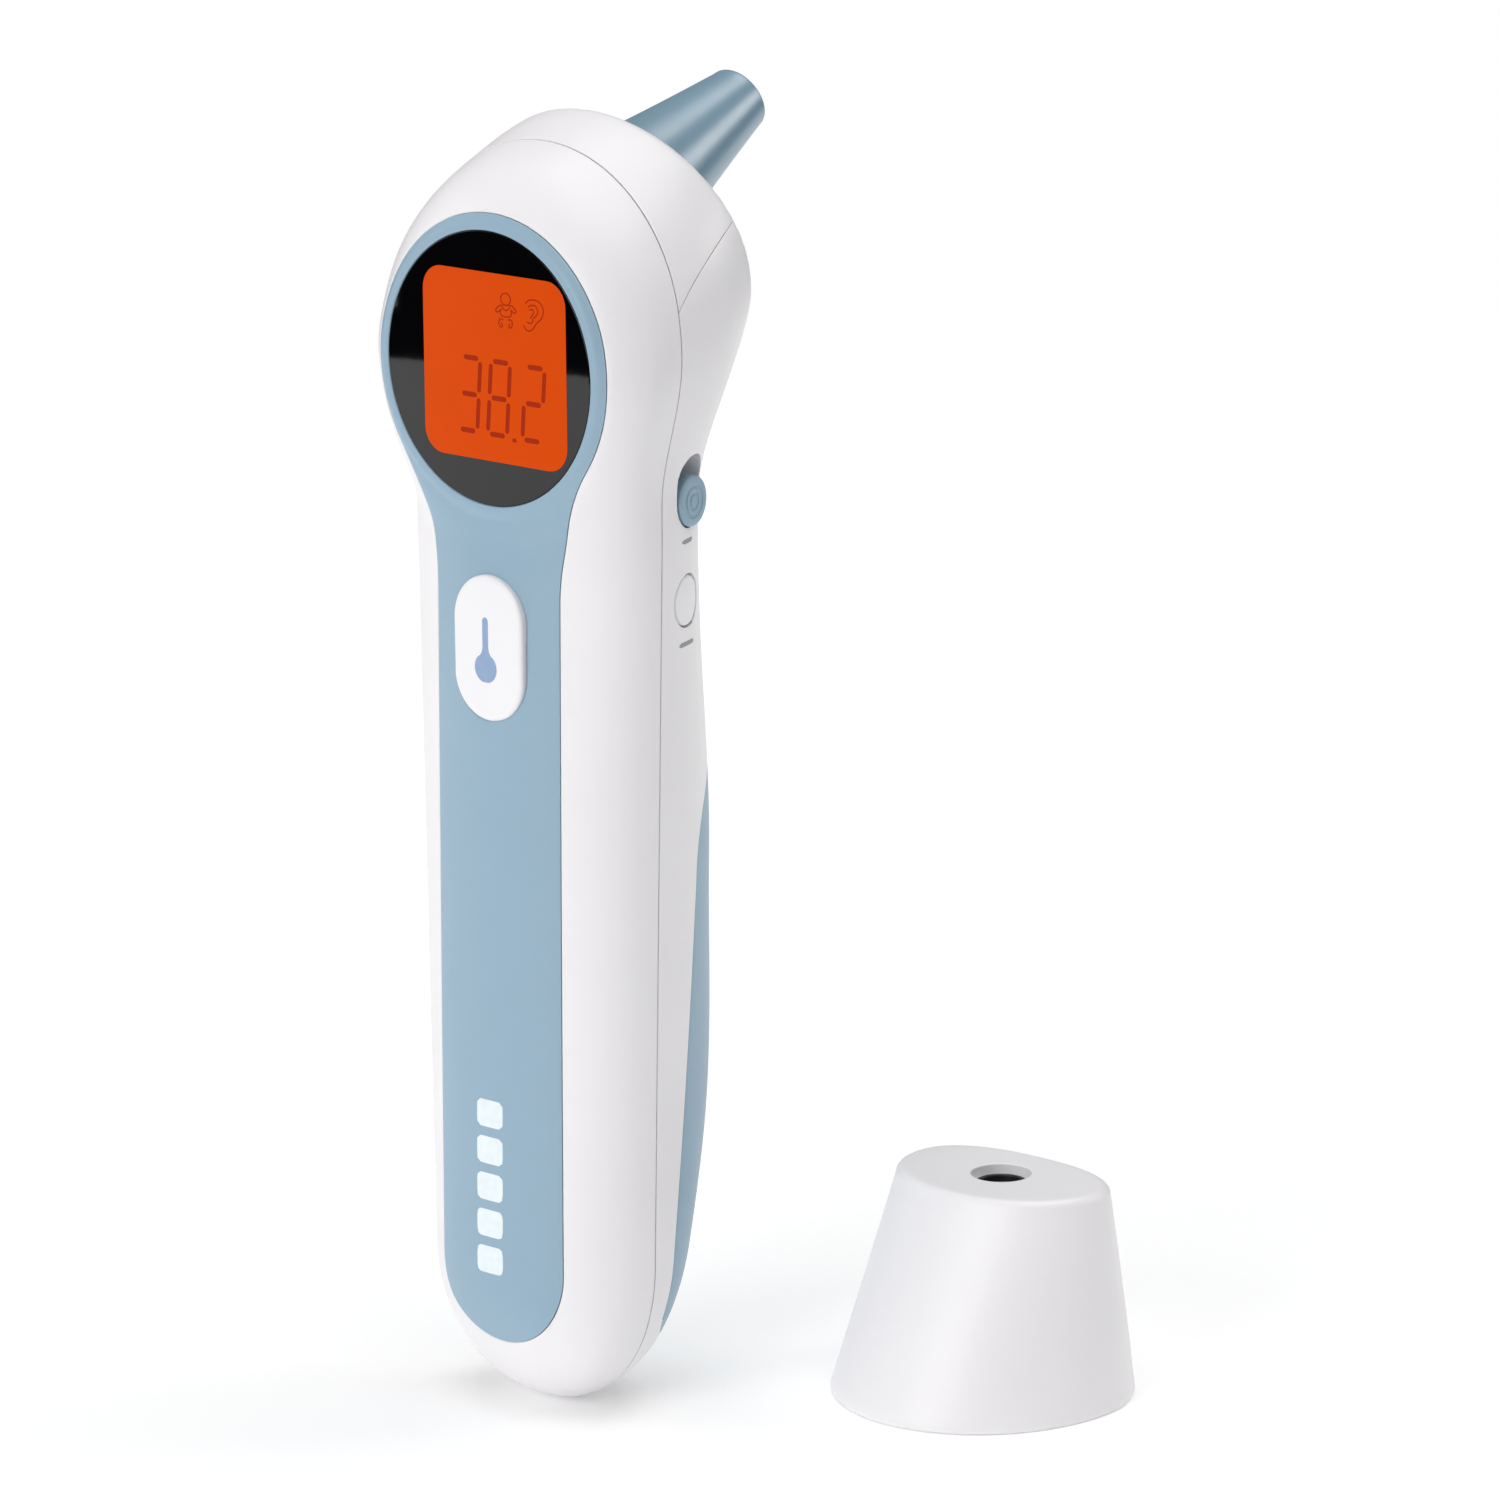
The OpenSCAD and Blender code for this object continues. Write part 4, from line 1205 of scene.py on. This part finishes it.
def add_probe():
    sweep = []
    for t in np.arange(25) / 24:
        sweep.append((mix(root_r, tip_r + 0.1, t) - 0.12 * math.sin(math.pi * t), t * (probe_len - 1)))
    tip = fillet([sweep[-1], (tip_r, probe_len, 0.75), (2.9, probe_len, 0.35), (2.9, probe_len - 1, 0.1),
                  (tip_r - probe_wall + 0.15, probe_len - 1)])
    inside = [(root_r - probe_wall, 0), (6.8, flange_low)]
    foot = [(flange_r, flange_low), (flange_r, flange_low + flange_t), (root_r, flange_low + flange_t)]
    turned("probe_sleeve", "housing", "probe_plastic", foot + sweep + tip[1:] + inside, on_probe,
           "probe_cone", closed=True, columns=128)
    ring = fillet([(root_r + 0.1, -shell_t), (collar_neck_r, -shell_t), (collar_neck_r, 0),
                   (collar_r, 0), (collar_r, collar_h, 0.4), (root_r + 0.1, collar_h, 0.4)], closed=True)
    turned("probe_collar_ring", "housing", "white_plastic", ring, on_probe, "probe_collar",
           closed=True, columns=128)


# --- Cap ---

cap_x = (cap_low[0] + cap_high[0]) / 2
cap_base, cap_top = (20.6, 16.35, 18.9, 2.0), (11.2, 8.5, 14.7, 2.4)
cap_y = cap_low[1] + cap_base[0]
cap_top_shift, cap_axis_y, cap_wall = 2.7, 2.2, 1.5
cap_columns = 144


def egg(t, inset, z):
    """Egg-shaped section: an ellipse towards -Y and a flatter curve towards +Y."""
    size = [mix(a, b, t) for a, b in zip(cap_base, cap_top)]
    ring = []
    for i in range(cap_columns):
        a = 2 * math.pi * i / cap_columns
        s, c = math.sin(a), math.cos(a)
        n = size[3] if c > 0 else 2
        reach = (size[1] if c > 0 else size[0]) - inset
        ring.append((math.copysign(abs(s) ** (2 / n), s) * (size[2] - inset),
                     math.copysign(abs(c) ** (2 / n), c) * reach + cap_top_shift * t, z))
    return ring


def cap_circle(r, z):
    return [(r * math.sin(a), cap_axis_y + r * math.cos(a), z)
            for a in 2 * math.pi * np.arange(cap_columns) / cap_columns]


def in_cap(p):
    return np.array([cap_x + p[0], cap_y + p[1], p[2]])


def on_cap_axis(p):
    return in_cap(p + [0, cap_axis_y, 0])


def between(ring_a, ring_b, t):
    return mix(np.array(ring_a), np.array(ring_b), t)


def add_cap():
    hole_r, hole_low, throat_r, seat_r, mouth_r = 3.75, cap_h - 1.4, 3.3, 5.2, 4.0
    base_r, top_r = 0.6, 1.2
    rings = [egg(0, base_r * (1 - s), base_r * (1 - c)) for s, c in quarter(4)]
    rings += [egg(t, 0, mix(base_r, cap_h - top_r, t)) for t in np.arange(1, 20) / 20]
    rings += [egg(1, top_r * (1 - c), cap_h - top_r * (1 - s)) for s, c in quarter(8)]
    rings += [between(rings[-1], cap_circle(mouth_r, cap_h), t) for t in (0.15, 0.4, 0.7, 0.95)]
    bore = fillet([(mouth_r, cap_h), (hole_r, cap_h - 0.02, 0.15), (hole_r, hole_low, 0.1),
                   (throat_r, hole_low), (throat_r, cap_h - 3.2), (seat_r, cap_h - 3.2, 0.3),
                   (seat_r, cap_h - 2)])
    rings += [cap_circle(r, z) for r, z in bore]
    ceiling = egg(0.95, cap_wall + 0.8, cap_h - 2)
    rings += [between(rings[-1], ceiling, 0.5), ceiling, egg(0.93, cap_wall + 0.2, cap_h - 2.5)]
    rings += [egg(0.9 * t, cap_wall, mix(0.3, cap_h - 3.2, t)) for t in np.arange(9, -1, -1) / 9]
    rings.append(egg(0, cap_wall - 0.3, 0))
    lofted("cap_cover", "forehead_cap", "white_plastic", rings, in_cap, "cap_shell", closed=True, sharp=50)
    socket_r, sleeve_low, sleeve_high, sleeve_t = collar_r + 0.06, 0.4, 5.4, 1.3
    corners = [(socket_r, sleeve_low), (socket_r + sleeve_t, sleeve_low),
               (socket_r + sleeve_t, sleeve_high), (socket_r, sleeve_high)]
    ring = fillet([(r, z, 0.25) for r, z in corners], closed=True)
    turned("cap_sleeve", "forehead_cap", "white_plastic", ring, on_cap_axis, closed=True)
    rib = [(-0.6, 0.5), (-0.5, 0.4), (0.5, 0.4), (0.6, 0.5), (0.6, 5.3), (0.5, 5.4), (-0.5, 5.4), (-0.6, 5.3)]
    for n, (du, dv, reach) in enumerate(((1, 0, 17.3), (-1, 0, 17.3), (0, 1, 12.0), (0, -1, 19.4))):
        rings = [[(du * s - dv * w, dv * s + du * w, h) for w, h in rib] for s in (socket_r + 0.9, reach)]
        lofted(f"cap_rib_{n + 1}", "forehead_cap", "white_plastic", rings, on_cap_axis)
    lens_z, band_r, band_hole_r = cap_h - 2, 3.25, 2.75
    band = fillet([(band_hole_r, lens_z), (band_r, lens_z), (band_r, lens_z + 0.9, 0.15),
                   (band_hole_r, lens_z + 0.9, 0.3)], closed=True)
    turned("cap_lens_band", "forehead_cap", "ring_black", band, on_cap_axis, "cap_lens_ring", closed=True)
    dome = [(band_r * c, lens_z - 0.45 + 0.4 * s) for s, c in quarter(9)]
    turned("cap_lens_glass", "forehead_cap", "lens_grey",
           [(0, lens_z - 0.8), (band_r, lens_z - 0.8)] + dome, on_cap_axis, "cap_lens")


for add in (add_front_shell, add_rear_shell, add_probe_housing, add_battery_cover, add_front_panel,
            add_mode_button, add_mark, add_side_marks, add_display, add_scan_button, add_knob,
            add_probe, add_cap):
    add()


# --- Floor and light ---

def add_floor(radius=0.7):
    mesh = new_mesh("floor", circle(radius, 0, 128), [list(range(128))])
    floor = place_object("floor", mesh)
    paper = Finish("floor_paper_painted_glow", 0.8).colour((250, 250, 250), size=80, variation=0.004).rough(0.75, 0.85)
    # Painted light: the floor glows, weakest under the thermometer and strongest towards its rim. This keeps
    # it white out to its edge, lifts the shadow under the thermometer and throws light up onto the
    # thermometer.
    fall = paper.texture("ShaderNodeTexGradient", gradient_type="SPHERICAL")
    painted_floor_glow = paper.ramp(fall.outputs["Fac"], (0.4, (0.42, 0.42, 0.42, 1)), (0.85, (0.17, 0.17, 0.17, 1)))
    paper.join(painted_floor_glow, paper.shader.inputs["Emission Color"])
    paper.set("Emission Strength", 1.0)
    mesh.materials.append(paper.material)


def add_light(name, place, aim, size, power):
    data = bpy.data.lights.new(name, "AREA")
    data.shape = "SQUARE"
    data.size = size
    data.energy = power
    light = place_object(name, data)
    light.location = place
    light.rotation_euler = (Vector(aim) - Vector(place)).to_track_quat("-Z", "Y").to_euler()


def add_world(strength=0.2):
    """Even light from above; the paper's own white behind the object."""
    world = bpy.data.worlds.new("studio")
    bpy.context.scene.world = world
    world.use_nodes = True
    world.node_tree.nodes.clear()
    nodes = Nodes(world.node_tree)
    parts = nodes.node("ShaderNodeSeparateXYZ")
    nodes.join(nodes.node("ShaderNodeTexCoord").outputs["Generated"], parts.inputs["Vector"])
    sky = nodes.node("ShaderNodeBackground", Strength=strength)
    nodes.join(nodes.ramp(parts.outputs["Z"], (0.0, (0, 0, 0, 1)), (0.12, (1, 1, 1, 1))), sky.inputs["Color"])
    paper = nodes.node("ShaderNodeBackground", Color=(1, 1, 1, 1), Strength=1.0)
    blend = nodes.node("ShaderNodeMixShader")
    nodes.join(nodes.node("ShaderNodeLightPath").outputs["Is Camera Ray"], blend.inputs["Fac"])
    nodes.join(sky.outputs["Background"], blend.inputs[1])
    nodes.join(paper.outputs["Background"], blend.inputs[2])
    nodes.join(blend.outputs["Shader"], nodes.node("ShaderNodeOutputWorld").inputs["Surface"])


add_floor()
add_light("left", (-1.2, -0.5, 0.35), (0, 0, 0.08), 0.9, 2.7)
add_light("front", (0, -1.4, 0.5), (0, 0, 0.08), 0.9, 10)
add_light("top", (0.1, 0.1, 1.3), (0, 0, 0), 1.2, 11.3)
add_light("right", (0.69, 0.93, 0.52), (0, 0, 0.14), 0.42, 2.4)
add_world()
bpy.context.scene.view_settings.view_transform = "Standard"
